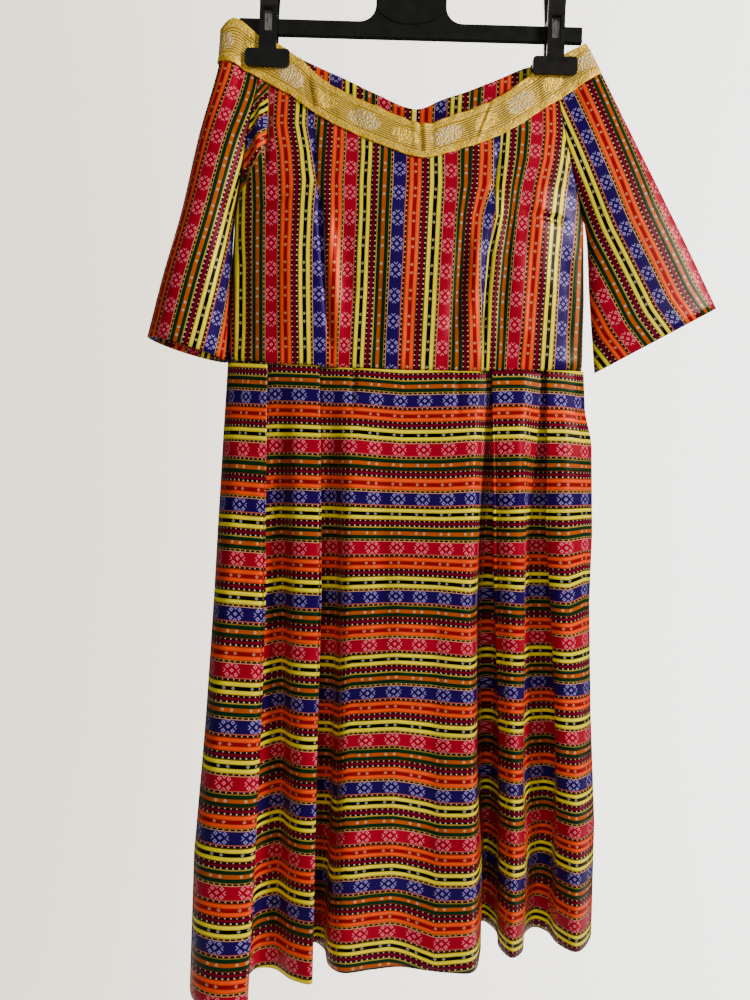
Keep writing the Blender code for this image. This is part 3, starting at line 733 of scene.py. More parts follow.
@dataclass(frozen=True)
class Band:
    """One narrow stripe in three bands: its dyes and the rim beside it.

    Attributes:
        outer: The two outer bands.
        inner: The band between them.
        rim: The thin line on its left.
        mark: The small diamonds on the inner band.
    """

    outer: Dye
    inner: Dye
    rim: Dye
    mark: Dye


ORANGE_BAND = Band(Dye.ORANGE, Dye.SCARLET, Dye.RUST, Dye.BLUSH)
YELLOW_BAND = Band(Dye.YELLOW, Dye.BLACK, Dye.MOSS, Dye.SILK)
GREEN_BAND = Band(Dye.GREEN, Dye.OCHRE, Dye.OLIVE, Dye.CREAM)
REPEATS = ((ORANGE_BAND, YELLOW_BAND), (GREEN_BAND, ORANGE_BAND), (YELLOW_BAND, GREEN_BAND))


@dataclass(frozen=True)
class Dashes:
    """One row of dashes with a dot in each gap.

    Attributes:
        start: Where the row starts, as a share of the repeat.
        end: Where it ends.
        dot: Where its dots lie.
        size: Size of a dot in millimetres.
        dye: The dots' colour.
    """

    start: float
    end: float
    dot: float
    size: float
    dye: Dye


@dataclass(frozen=True)
class Flower:
    """The flower of a big stripe: five hollow diamonds and four chevrons, in millimetres.

    Attributes:
        centre: Inner and outer reach of the middle diamond.
        corner: Where the corner diamonds lie, across and along.
        ring: Inner and outer reach of a corner diamond.
        tips: Where the chevrons' tips lie, along and across.
        line: Half the width of a chevron's line.
        reach: How far a chevron reaches to either side.
    """

    centre: tuple[float, float] = (0.75, 2.1)
    corner: tuple[float, float] = (3.9, 4.35)
    ring: tuple[float, float] = (0.9, 2.25)
    tips: tuple[float, float] = (6.0, 4.6)
    line: float = 0.58
    reach: float = 2.0

    def mask(self, nodes: Nodes, across: Socket, along: Socket) -> Socket:
        """Marks the flower.

        Args:
            nodes: The material's nodes.
            across: Millimetres across from the stripe's middle, unsigned.
            along: Millimetres along from the flower's middle, unsigned.

        Returns:
            1 on the flower, else 0.
        """
        centre = nodes.within(nodes.add(across, along), *self.centre)
        corner = nodes.add(
            nodes.math("ABSOLUTE", nodes.add(across, -self.corner[0])),
            nodes.math("ABSOLUTE", nodes.add(along, -self.corner[1])),
        )
        marks = [centre, nodes.within(corner, *self.ring)]
        for one, other, tip in ((along, across, self.tips[0]), (across, along, self.tips[1])):
            line = nodes.math("SUBTRACT", nodes.math("SUBTRACT", one, other), tip)
            slim = nodes.math("LESS_THAN", nodes.math("ABSOLUTE", line), self.line)
            marks.append(nodes.times(slim, nodes.math("LESS_THAN", other, self.reach)))
        return nodes.most(*marks)


@dataclass(frozen=True)
class StripedSatin:
    """Satin with woven stripes, flowers, diamonds, dashes and dots.

    Attributes:
        big_end: Where the big stripe ends, as a share of the repeat.
        first: Where the first narrow stripe's parts start.
        maroon: Start and end of the maroon stripe.
        second: Where the second narrow stripe's parts start.
        dash: Dashes to one flower.
        dash_end: How far a dash reaches from its middle, as a share of two dashes' distance.
        pair: Half the distance of two diamonds, as a share of the distance of two flowers.
        pair_shift: How far the diamonds are moved along, as the same share.
        diamond: Inner and outer reach of a diamond in millimetres.
        wander: How far the threads stray, as a share of the repeat.
        roughness: The satin's roughness.
        shine: The level of its shine.
        drawn: How far the shine is drawn out along the threads.
        flower: The flower of the big stripes.
        dashes: The rows of dashes.
    """

    big_end: float = 0.245
    first: tuple[float, float, float, float] = (0.322, 0.397, 0.471, 0.545)
    maroon: tuple[float, float] = (0.592, 0.651)
    second: tuple[float, float, float, float] = (0.715, 0.787, 0.864, 0.938)
    dash: float = 5.0
    dash_end: float = 0.37
    pair: float = 0.157
    pair_shift: float = 0.07
    diamond: tuple[float, float] = (0.8, 1.75)
    wander: float = 0.005
    roughness: float = 0.33
    shine: float = 1.0
    drawn: float = 0.5
    flower: Flower = Flower()
    dashes: tuple[Dashes, ...] = (
        Dashes(0.264, 0.304, 0.283, 0.95, Dye.TAN),
        Dashes(0.556, 0.590, 0.575, 0.85, Dye.PALE),
        Dashes(0.654, 0.695, 0.676, 0.95, Dye.PALE),
        Dashes(0.953, 0.985, 0.968, 0.9, Dye.TAN),
    )

    def stops(self, bands: tuple[Band, Band]) -> list[tuple[float, Colour]]:
        """The colours across one repeat.

        Args:
            bands: The two narrow stripes that it holds.

        Returns:
            Where each colour starts, as a share of the repeat, and the colour.
        """
        one, two = bands
        return [
            (0.0, Dye.CRIMSON.value),
            (self.big_end, Dye.MAUVE.value),
            (0.262, Dye.DASH.value),
            (0.304, one.rim.value),
            (self.first[0], one.outer.value),
            (self.first[1], one.inner.value),
            (self.first[2], one.outer.value),
            (self.first[3], Dye.RUST.value),
            (0.556, Dye.DASH.value),
            (self.maroon[0], Dye.MAROON.value),
            (self.maroon[1], Dye.DASH.value),
            (0.695, two.rim.value),
            (self.second[0], two.outer.value),
            (self.second[1], two.inner.value),
            (self.second[2], two.outer.value),
            (self.second[3], Dye.OLIVE.value),
            (0.951, Dye.DASH.value),
            (0.985, Dye.TAN.value),
        ]

    def material(self) -> bpy.types.Material:
        """Builds the satin's material.

        Returns:
            The material.
        """
        nodes = Nodes("striped_satin")
        width, length, _ = nodes.split(nodes.uv())
        # A thread's slight wander keeps the stripes from looking printed.
        stray = nodes.add(nodes.noise(nodes.uv(), 60.0, 2.0), -0.5)
        number = nodes.add(nodes.times(width, 1.0 / (REPEAT * MM)), nodes.times(stray, self.wander))
        count = nodes.math("FLOOR", number)
        share = nodes.math("SUBTRACT", number, count)
        third = nodes.math("FLOORED_MODULO", count, 3.0)
        odd = nodes.math("FLOORED_MODULO", count, 2.0)
        ground = nodes.steps(share, self.stops(REPEATS[0]))
        for turn in (1, 2):
            this = nodes.math("COMPARE", third, float(turn), 0.1)
            ground = nodes.blend(this, ground, nodes.steps(share, self.stops(REPEATS[turn])))
        on_big = nodes.math("LESS_THAN", share, self.big_end)
        even_big = nodes.times(on_big, nodes.math("SUBTRACT", 1.0, odd))
        ground = nodes.blend(even_big, ground, Dye.VIOLET.value)

        flowers = nodes.times(length, 1.0 / (FLOWER * MM))
        tick = nodes.math("FRACT", nodes.times(flowers, self.dash))
        centred = nodes.math("ABSOLUTE", nodes.add(tick, -0.5))
        gap = nodes.math("GREATER_THAN", centred, self.dash_end)
        spacing = FLOWER / self.dash
        from_dot = nodes.times(nodes.math("SUBTRACT", 0.5, centred), spacing)
        for row in self.dashes:
            inside = nodes.within(share, row.start, row.end)
            ground = nodes.blend(nodes.times(gap, inside), ground, Dye.BROWN.value)
            off = nodes.math("ABSOLUTE", nodes.add(share, -row.dot))
            near = nodes.add(nodes.times(off, REPEAT), from_dot)
            dots = nodes.math("LESS_THAN", near, row.size)
            ground = nodes.blend(dots, ground, row.dye.value)

        across = nodes.math("ABSOLUTE", nodes.times(nodes.add(share, -self.big_end / 2), REPEAT))
        petal = nodes.math("ABSOLUTE", nodes.add(nodes.math("FRACT", flowers), -0.5))
        flower = nodes.times(self.flower.mask(nodes, across, nodes.times(petal, FLOWER)), on_big)
        ground = nodes.blend(flower, ground, nodes.blend(odd, Dye.LILAC.value, Dye.PINK.value))

        marks = flower
        for start, end, pick in ((self.first[1], self.first[2], 0), (self.second[1], self.second[2], 1)):
            middle_line = (start + end) / 2
            off = nodes.times(nodes.math("ABSOLUTE", nodes.add(share, -middle_line)), REPEAT)
            turn_share = nodes.math("FRACT", nodes.add(flowers, self.pair_shift))
            from_middle = nodes.math("ABSOLUTE", nodes.add(turn_share, -0.5))
            from_pair = nodes.math("ABSOLUTE", nodes.add(from_middle, -self.pair))
            ring = nodes.within(nodes.add(off, nodes.times(from_pair, FLOWER)), *self.diamond)
            colour: Socket | Colour = REPEATS[0][pick].mark.value
            for turn in (1, 2):
                this = nodes.math("COMPARE", third, float(turn), 0.1)
                colour = nodes.blend(this, colour, REPEATS[turn][pick].mark.value)
            ground = nodes.blend(ring, ground, colour)
            marks = nodes.most(marks, ring)

        self.finish(nodes, ground, share, marks)
        return nodes.material

    def finish(self, nodes: Nodes, ground: Socket, share: Socket, marks: Socket) -> None:
        """Adds the cloth's lustre, uneven dye and relief, with painted shade and painted highlight on the
        narrow cords.

        Args:
            nodes: The material's nodes.
            ground: The pattern's colour.
            share: The place across the repeat.
            marks: 1 on the woven marks, else 0.
        """
        place_of = nodes.place()
        cloudy = nodes.noise(place_of, 14.0, 4.0)
        ground = nodes.blend(1.0, ground, nodes.fade(cloudy, 0.3, grey(0.84), 0.7, grey(1.0)), "MULTIPLY")
        slub = nodes.noise(nodes.uv(), 900.0, 2.0, (1.0, 0.12, 1.0))
        ground = nodes.blend(0.7, ground, nodes.fade(slub, 0.3, grey(0.86), 0.62, grey(1.0)), "MULTIPLY")
        rough = nodes.add(nodes.times(slub, 0.18), self.roughness - 0.09)
        nodes.join(rough, nodes.shader.inputs["Roughness"])
        nodes.shader.inputs["Anisotropic"].default_value = self.drawn
        nodes.shader.inputs["Specular IOR Level"].default_value = self.shine
        tangent = nodes.tree.nodes.new("ShaderNodeTangent")
        tangent.direction_type = "UV_MAP"
        tangent.uv_map = "pattern"
        nodes.join(tangent.outputs[0], nodes.shader.inputs["Tangent"])
        low, half, high = grey(0.0), grey(0.5), grey(1.0)
        rise = [(0.0, half), (self.big_end, low), (self.first[0], low)]
        for a, b, c, d in (self.first, self.second):
            rise += [(a + 0.03, high), (b - 0.008, half), (b + 0.004, low), (c - 0.004, low)]
            rise += [(c + 0.008, half), (d - 0.03, high), (d, low)]
        rise.append((self.maroon[0] + 0.03, half))
        relief = nodes.steps(share, sorted(rise), "LINEAR")
        # Painted shade darkens the low places of the narrow cords and a painted highlight lightens their
        # raised middles, both taken from the relief.
        painted_cord_shade = nodes.add(nodes.times(relief, 0.5), 0.6)
        cord_shade_mask = nodes.within(share, self.first[0] - 0.02, self.second[3] + 0.01)
        ground = nodes.blend(cord_shade_mask, ground, nodes.blend(1.0, ground, painted_cord_shade, "MULTIPLY"))
        nodes.join(ground, nodes.shader.inputs["Base Color"])
        # A satin's shine has the colour of its threads.
        nodes.join(ground, nodes.shader.inputs["Specular Tint"])
        height = nodes.add(nodes.times(relief, 0.6), nodes.times(marks, 0.35))
        weave = nodes.noise(nodes.uv(), 1500.0, 1.0, (1.0, 0.25, 1.0))
        height = nodes.add(height, nodes.times(weave, 0.5))
        ripple = nodes.noise(place_of, 60.0, 3.0)
        height = nodes.add(height, nodes.times(ripple, 1.6))
        nodes.bump(height, 0.0004, 0.6)


class Lamp(NamedTuple):
    """A square soft light: its place in metres, its power in watts and its width in metres."""

    name: str
    spot: tuple[float, float, float]
    power: float
    size: float


@dataclass(frozen=True)
class Stage:
    """Floor, light and camera, in metres.

    Attributes:
        floor_at: The floor's middle.
        floor_half: Half its width.
        floor_tones: Its darkest and its lightest tone.
        floor_glow: Strength of the light that it gives back from the rest of the room.
        air: Colour of the air's light.
        air_light: Strength of that light on the dress.
        behind: The colours behind the dress, to the left and to the right; the darker, warmer left one is
            painted shade.
        behind_from: Where they start to mix, from 0 at the far left to 1 at the far right.
        behind_light: Their strength, which only the camera sees.
        lamps: The lights.
        lamp_colour: Their colour.
        aim: What they point at.
        eye: The camera's place.
        lens: Its focal length in millimetres.
        sensor: The width of its sensor in millimetres.
        roll: How far it is rolled, in degrees.
    """

    floor_at: tuple[float, float, float] = (0.0, -4.75, -2.1)
    floor_half: float = 6.0
    floor_tones: tuple[Colour, Colour] = ((0.86, 0.85, 0.83), (0.92, 0.91, 0.89))
    floor_glow: float = 0.22
    air: Colour = (1.0, 0.975, 0.93)
    air_light: float = 0.08
    # The darker left colour is painted shade on the backdrop.
    behind: tuple[Colour, Colour] = ((0.56, 0.49, 0.385), (1.0, 0.99, 0.955))
    behind_from: tuple[float, float] = (0.3, 0.75)
    behind_light: float = 4.0
    lamps: tuple[Lamp, ...] = (
        Lamp("window", (2.1, -1.35, 0.6), 106.0, 0.6),
        Lamp("room", (-0.3, -2.5, 0.3), 9.0, 1.2),
        Lamp("behind", (-0.9, 2.4, 0.7), 46.0, 1.6),
    )
    lamp_colour: Colour = (1.0, 0.9, 0.78)
    aim: tuple[float, float, float] = (0.0, 0.0, -0.55)
    eye: tuple[float, float, float] = (-0.025, -0.834, -0.6395)
    lens: float = 27.04
    sensor: float = 36.0
    roll: float = 1.6

    def build(self) -> None:
        """Sets up the pale floor and air, the lights and the camera."""
        self.floor()
        self.pale_air()
        self.lights()
        self.camera()

    def floor(self) -> None:
        """A plain pale floor under the dress."""
        mesh = bpy.data.meshes.new("floor")
        bm = bmesh.new()
        bmesh.ops.create_grid(bm, x_segments=1, y_segments=1, size=self.floor_half)
        bmesh.ops.translate(bm, vec=self.floor_at, verts=bm.verts[:])
        bm.to_mesh(mesh)
        bm.free()
        floor = bpy.data.objects.new("floor", mesh)
        bpy.context.scene.collection.objects.link(floor)
        nodes = Nodes("pale_floor")
        dark, light = self.floor_tones
        tone = nodes.fade(nodes.noise(nodes.place(), 1.5, 2.0), 0.3, dark, 0.7, light)
        nodes.join(tone, nodes.shader.inputs["Base Color"])
        nodes.shader.inputs["Roughness"].default_value = 0.85
        nodes.shader.inputs["Emission Color"].default_value = (1.0, 0.98, 0.94, 1.0)
        nodes.shader.inputs["Emission Strength"].default_value = self.floor_glow
        mesh.materials.append(nodes.material)

    def pale_air(self) -> None:
        """Air that lights the dress faintly, and brighter air behind it that only the camera sees, darkened
        towards the left by painted shade.
        """
        world = bpy.data.worlds.new("pale_air")
        bpy.context.scene.world = world
        world.use_nodes = True
        tree = world.node_tree
        air = tree.nodes["Background"]
        air.inputs[0].default_value = (*self.air, 1.0)
        air.inputs[1].default_value = self.air_light
        seen = tree.nodes.new("ShaderNodeBackground")
        seen.inputs[1].default_value = self.behind_light
        towards = tree.nodes.new("ShaderNodeSeparateXYZ")
        tree.links.new(tree.nodes.new("ShaderNodeTexCoord").outputs["Generated"], towards.inputs[0])
        # Painted shade darkens the backdrop towards the left.
        ramp = tree.nodes.new("ShaderNodeValToRGB")
        for element, at, colour in zip(ramp.color_ramp.elements, self.behind_from, self.behind):
            element.position = at
            element.color = (*colour, 1.0)
        middle = tree.nodes.new("ShaderNodeMapRange")
        middle.inputs["From Min"].default_value = -1.0
        tree.links.new(towards.outputs[0], middle.inputs[0])
        tree.links.new(middle.outputs[0], ramp.inputs[0])
        tree.links.new(ramp.outputs[0], seen.inputs[0])
        pick = tree.nodes.new("ShaderNodeMixShader")
        tree.links.new(tree.nodes.new("ShaderNodeLightPath").outputs["Is Camera Ray"], pick.inputs[0])
        tree.links.new(air.outputs[0], pick.inputs[1])
        tree.links.new(seen.outputs[0], pick.inputs[2])
        tree.links.new(pick.outputs[0], tree.nodes["World Output"].inputs[0])

    def lights(self) -> None:
        """The window's light from the upper right, a faint one from the room and one from behind."""
        for lamp in self.lamps:
            light = bpy.data.lights.new(lamp.name, "AREA")
            light.energy = lamp.power
            light.shape = "SQUARE"
            light.size = lamp.size
            light.color = self.lamp_colour
            obj = bpy.data.objects.new(lamp.name, light)
            bpy.context.scene.collection.objects.link(obj)
            obj.location = lamp.spot
            towards = Vector(self.aim) - Vector(lamp.spot)
            obj.rotation_euler = towards.to_track_quat("-Z", "Y").to_euler()

    def camera(self) -> None:
        """The camera level with the dress's middle, rolled as the photograph is."""
        data = bpy.data.cameras.new("view")
        data.sensor_width = self.sensor
        data.lens = self.lens
        data.clip_start = 0.01
        obj = bpy.data.objects.new("view", data)
        bpy.context.scene.collection.objects.link(obj)
        level = Matrix.Rotation(math.radians(90.0), 4, "X")
        roll = Matrix.Rotation(math.radians(self.roll), 4, "Z")
        obj.matrix_world = Matrix.Translation(self.eye) @ level @ roll
        bpy.context.scene.camera = obj


@dataclass(frozen=True)
class Tuck:
    """The tuck by the left armhole, where the cloth is turned and its stripes run on the slant.

    Attributes:
        x: A place in it, across.
        drop: How far down that place lies.
        number: The stripe number there.
        slant: How much the number falls with each millimetre down.
        edge_x: Its inner edge.
        edge_drop: Where its lower edge meets the inner one.
        edge_slope: How far the lower edge falls with each millimetre to the left.
    """

    x: float = -160.0
    drop: float = 74.0
    number: float = 2.9
    slant: float = 0.016
    edge_x: float = -152.5
    edge_drop: float = 142.0
    edge_slope: float = 1.78

    def turn(self, x: np.ndarray, drop: np.ndarray, stripe: np.ndarray) -> np.ndarray:
        """Puts the tuck's stripe numbers in their place.

        Args:
            x: Places across.
            drop: How far down they lie.
            stripe: The stripe numbers without the tuck.

        Returns:
            The stripe numbers with it.
        """
        turned = self.number - self.slant * (drop - self.drop) - (x - self.x) / REPEAT
        inside = (x < self.edge_x) & (drop < self.edge_drop - (x - self.edge_x) * self.edge_slope)
        return np.where(inside, turned, stripe)


@dataclass
class Bodice:
    """The front panel and the two back panels, in millimetres.

    Attributes:
        wall: Thickness of the cloth.
        rows: Rows of faces from the neckline to the waist.
        step: Widest column of the front.
        half: Columns of a back panel.
        neck_steps: Samples to each stretch of the neckline.
        rounds: How often the places across and down are fitted to each other.
        flowers_at: How far the flowers are moved along, in front and behind.
        back_repeat: The pattern's repeat across the back.
        back_marks: A place across and its stripe number, on the left and the right back panel.
        tuck: The tuck by the left armhole.
        side_fade: Width over which the creases fade in from the sides.
        waist_fade: Height over which they fade out above the waist.
        neck_clear: How far below the neckline they start, under the ribbon.
        neck_fade: Height over which they fade in there.
        seam_depth: How far the waist seam draws the cloth in.
        seam_width: Height of that hollow.
        creases: Darts and soft folds of the front.
    """

    wall: float = 0.9
    rows: int = 96
    step: float = 3.0
    half: int = 60
    neck_steps: int = 6
    rounds: int = 6
    flowers_at: tuple[float, float] = (4.0, 11.0)
    back_repeat: float = 54.0
    back_marks: tuple[tuple[float, float], tuple[float, float]] = ((-28.0, 3.113), (36.0, 2.113))
    tuck: Tuck = Tuck()
    side_fade: float = 10.0
    waist_fade: float = 14.0
    neck_clear: float = 30.0
    neck_fade: float = 12.0
    seam_depth: float = 1.6
    seam_width: float = 3.0
    creases: tuple[Crease, ...] = (
        Crease(-98, 175, -76, 385, 3.2, -5.4),
        Crease(-104, 120, -97, 200, 3.0, -3.8),
        Crease(-88, 190, -66, 385, 6.0, 2.9),
        Crease(99, 135, 92, 210, 3.0, -3.5),
        Crease(94, 215, 84, 385, 3.2, -5.1),
        Crease(66, 215, 50, 375, 8.0, -4.2),
        Crease(78, 230, 70, 380, 6.0, 3.2),
        Crease(112, 190, 103, 370, 7.0, -3.2),
        Crease(-70, 210, -58, 330, 9.0, -2.9),
        Crease(-34, 270, -26, 385, 8.0, -2.9),
        Crease(-182, 216, -112, 196, 1.6, -2.1),
        Crease(102, 212, 174, 224, 1.6, -2.1),
        Crease(-178, 240, -172, 385, 9.0, -3.2),
        Crease(176, 240, 182, 385, 9.0, -3.2),
        Crease(-20, 160, -14, 300, 16.0, 2.6),
        Crease(30, 165, 24, 330, 15.0, -2.1),
        Crease(140, 150, 150, 330, 12.0, 2.2),
        Crease(-153, 84, -155, 186, 2.6, -4.0),
        Crease(-162, 84, -164, 170, 3.0, 3.2),
        Crease(-171, 92, -180, 220, 3.0, -4.2),
        Crease(166, 100, 182, 190, 3.0, -3.8),
        Crease(-126, 230, -120, 380, 12.0, 2.4),
        Crease(8, 300, 10, 384, 9.0, -2.6),
        Crease(-173, 221, -119, 202, 2.2, -3.0),
        Crease(120, 214, 181, 223, 2.2, -3.0),
        Crease(122, 240, 128, 380, 10.0, 2.6),
    )

    def relief(self, x: np.ndarray, drop: np.ndarray, start: np.ndarray) -> np.ndarray:
        """How far the darts, the creases and the waist seam move the front.

        Args:
            x: Places across.
            drop: How far down they lie.
            start: Drop of the neckline above each place.

        Returns:
            The height in millimetres, below zero where the cloth is drawn in.
        """
        height = crease_height(self.creases, x, drop)
        edge = np.minimum(x - side_value("left", drop), side_value("right", drop) - x)
        above = waist_drop(x) - drop
        below = drop - start - self.neck_clear
        height *= ease(edge / self.side_fade) * ease(above / self.waist_fade) * ease(below / self.neck_fade)
        return height - self.seam_depth * np.exp(-((above / self.seam_width) ** 2))

    def front(self) -> ClothGrid:
        """Lays out the front panel, its columns along the stripes.

        Returns:
            The panel with its relief.
        """
        tops = neck_line(FRONT_NECK, self.neck_steps)
        tracks = [(np.array(track.xs), np.array(track.stripes)) for track in BODICE_TRACKS]
        xs, stripes = [tracks[0][0]], [tracks[0][1]]
        for (left_x, left_stripe), (right_x, right_stripe) in pairwise(tracks):
            cuts = max(1, round(float(np.max(right_x - left_x)) / self.step))
            for cut in range(1, cuts + 1):
                xs.append(mix(left_x, right_x, cut / cuts))
                stripes.append(mix(left_stripe, right_stripe, cut / cuts))
        down = np.linspace(0.0, 1.0, self.rows + 1)[:, None]
        x = np.array([track[0] for track in xs])[None, :] * np.ones((self.rows + 1, 1))
        for _ in range(self.rounds):
            start = np.interp(x, tops[:, 0], tops[:, 1])
            drop = mix(start, waist_drop(x), down)
            for column, track in enumerate(xs):
                x[:, column] = np.interp(drop[:, column], LEVELS, track)
            left, right = side_value("left", drop), side_value("right", drop)
            x[:, 0], x[:, -1] = left[:, 0], right[:, -1]
            x = np.clip(x, left, right)
        stripe = np.stack([np.interp(drop[:, c], LEVELS, s) for c, s in enumerate(stripes)], axis=1)
        stripe = self.tuck.turn(x, drop, stripe)
        grid = ClothGrid(place(x, bodice_depth(x, drop), drop), stripe, drop + self.flowers_at[0])
        return grid.raised(self.relief(x, drop, start))

    def back(self) -> list[ClothGrid]:
        """Lays out the two back panels.

        Returns:
            The left and the right panel, each with its columns towards the left.
        """
        tops = neck_line(BACK_NECK, self.neck_steps)
        across = np.linspace(0.0, 1.0, self.half + 1)[None, :]
        down = np.linspace(0.0, 1.0, self.rows + 1)[:, None]
        ends = [BACK_NECK[number].top_x for number in (0, BACK_CENTRE, -1)]
        panels = []
        for side, (mark_x, mark_stripe) in enumerate(self.back_marks):
            x = mix(ends[side], ends[side + 1], across) * np.ones_like(down)
            for _ in range(self.rounds):
                drop = mix(np.interp(x, tops[:, 0], tops[:, 1]), waist_drop(x), down)
                seam = back_seam(drop)
                if side == 0:
                    x = mix(side_value("left", drop), seam - SEAM_TRIM, across)
                else:
                    x = mix(seam + SEAM_TRIM, side_value("right", drop), across)
            stripe = mark_stripe + (x - mark_x) / self.back_repeat
            grid = ClothGrid(place(x, -bodice_depth(x, drop), drop), stripe, drop + self.flowers_at[1])
            panels.append(grid.turned())
        return panels

    def build(self, satin: bpy.types.Material) -> None:
        """Builds the three panels.

        Args:
            satin: The striped satin.
        """
        grids = [self.front(), *self.back()]
        for name, grid in zip(("bodice_front", "bodice_back_left", "bodice_back_right"), grids):
            dress(cloth_mesh(name + "_cloth", grid), satin, self.wall, name)


@dataclass(frozen=True)
class Cut:
    """What shows of one piece as it was cut, in metres and square metres.

    Attributes:
        width: Its greatest width.
        length: Its greatest length.
        area: Its area.
        rests_on: What it hangs from.
    """

    width: float
    length: float
    area: float
    rests_on: tuple[str, ...]


def dress(
    obj: bpy.types.Object, material: bpy.types.Material, wall: float, node: str
) -> None:
    """Gives a panel its cloth and its wall, and lets it stand for its solid.

    Args:
        obj: The panel.
        material: Its cloth.
        wall: Thickness of the cloth in millimetres.
        node: The solid that it stands for.
    """
    obj.data.materials.append(material)
    give_wall(obj, wall)
    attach(obj, "root")
    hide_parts(node)
    LOG.info("%s: %d faces", obj.name, len(obj.data.polygons))


@dataclass
class Sleeve:
    """One short sleeve, open along the armhole and closed below the armpit.

    Attributes:
        name: The solid it stands for.
        sections: Its sections from the neckline to the hem.
        outward: The side's direction across, 1 to the right and -1 to the left.
        levels: Shares of the sleeve's length.
        stripes: Stripe number in front, a little inside its outer edge, at each of those shares.
        inside: How far inside the outer edge those numbers hold, in millimetres.
        wall: Thickness of the cloth in millimetres.
        half: Columns over half of the sleeve.
        steps: Rows for each stretch between two sections.
    """

    name: str
    sections: tuple[Section, ...]
    outward: float
    levels: tuple[float, ...]
    stripes: tuple[float, ...]
    inside: float = 10.0
    wall: float = 0.9
    half: int = 48
    steps: int = 10

    def surface(self) -> np.ndarray:
        """Lays out the sleeve's middle surface.

        Returns:
            Rows of points from the front of the armhole, round the outside, to its back.
        """
        around = np.linspace(0.0, 1.0, 2 * self.half + 1)
        front = around <= 0.5
        share = np.where(front, 2.0 * around, 2.0 * (1.0 - around))
        out = 0.5 - 0.5 * np.cos(np.pi * share)
        lines = []
        for section in self.sections:
            edge = 0.0
            if section.inner_drop < ARMPIT_DROP:
                edge = float(side_value("edge", section.inner_drop))
            depth = np.where(front, section.front, section.back)
            grown = np.maximum(0.0, (out - section.flat) / (1.0 - section.flat))
            squared = edge**2 + (depth**2 - edge**2) * (1.0 - (1.0 - grown) ** 3)
            forward = np.where(front, 1.0, -1.0) * np.sqrt(squared * (1.0 - out**4))
            rise = section.crown * np.sin(np.pi * out**1.5)
            drop = mix(section.inner_drop, section.outer_drop, out) - rise
            lines.append(place(mix(section.inner_x, section.outer_x, out), forward, drop))
        points = curve_through(np.array(lines), self.steps)
        column = "right" if self.outward > 0 else "left"
        weight = np.maximum(0.0, 1.0 - np.arange(2 * self.half + 1) / self.half) ** 3
        for row in points:
            if BAR_TOP - row[0, 2] / MM < ARMPIT_DROP:
                for side, fade in ((1.0, weight), (-1.0, weight[::-1])):
                    end = row[0] if side > 0 else row[-1]
                    drop = BAR_TOP - end[2] / MM
                    x = side_value(column, drop) + self.outward * ARMHOLE_GAP
                    target = place(x, side * side_value("edge", drop), drop)
                    row += (target - end) * fade[:, None]
            else:
                row[0] = row[-1] = (row[0] + row[-1]) / 2
        return points

    def grid(self) -> ClothGrid:
        """Lays the stripes on the sleeve, parallel to its outer edge.

        Returns:
            The panel.
        """
        points = self.surface()
        steps = np.linalg.norm(np.diff(points, axis=1), axis=-1) / MM
        arc = np.concatenate((np.zeros((len(points), 1)), np.cumsum(steps, axis=1)), axis=1)
        outer = points[:, self.half]
        run = outer[-1] - outer[0]
        down = np.linalg.norm(outer - outer[0], axis=-1) / np.linalg.norm(run)
        start = np.interp(down, self.levels, self.stripes)
        reach = self.outward * points[..., 0] / MM
        known = np.zeros(len(points))
        for row in range(len(points)):
            front = reach[row, : self.half + 1]
            known[row] = np.interp(np.max(front) - self.inside, front, arc[row, : self.half + 1])
        # The front of either sleeve lies inwards of its outer edge.
        stripe = start[:, None] - self.outward * (arc - known[:, None]) / REPEAT
        along = (points - outer[0]) @ (run / np.linalg.norm(run)) / MM
        grid = ClothGrid(points, stripe, along)
        return grid if self.outward > 0 else grid.turned()

    def build(self, satin: bpy.types.Material) -> None:
        """Builds the sleeve, joined along its underside below the armpit.

        Args:
            satin: The striped satin.
        """
        above = sum(section.inner_drop < ARMPIT_DROP for section in self.sections)
        obj = cloth_mesh(self.name + "_cloth", self.grid(), weld_from=above * self.steps)
        dress(obj, satin, self.wall, self.name)


SLEEVES = (
    Sleeve("sleeve_left", SLEEVE_LEFT, -1.0, (0.0, 1.0), (3.43, 3.43)),
    Sleeve("sleeve_right", SLEEVE_RIGHT, 1.0, (0.0, 0.3, 0.6, 0.9, 1.0), (1.54, 1.39, 1.24, 1.24, 1.35)),
)


class Wave(NamedTuple):
    """A small wave along the ribbon: its height, its length to a radian and where it starts."""

    height: float
    length: float
    start: float


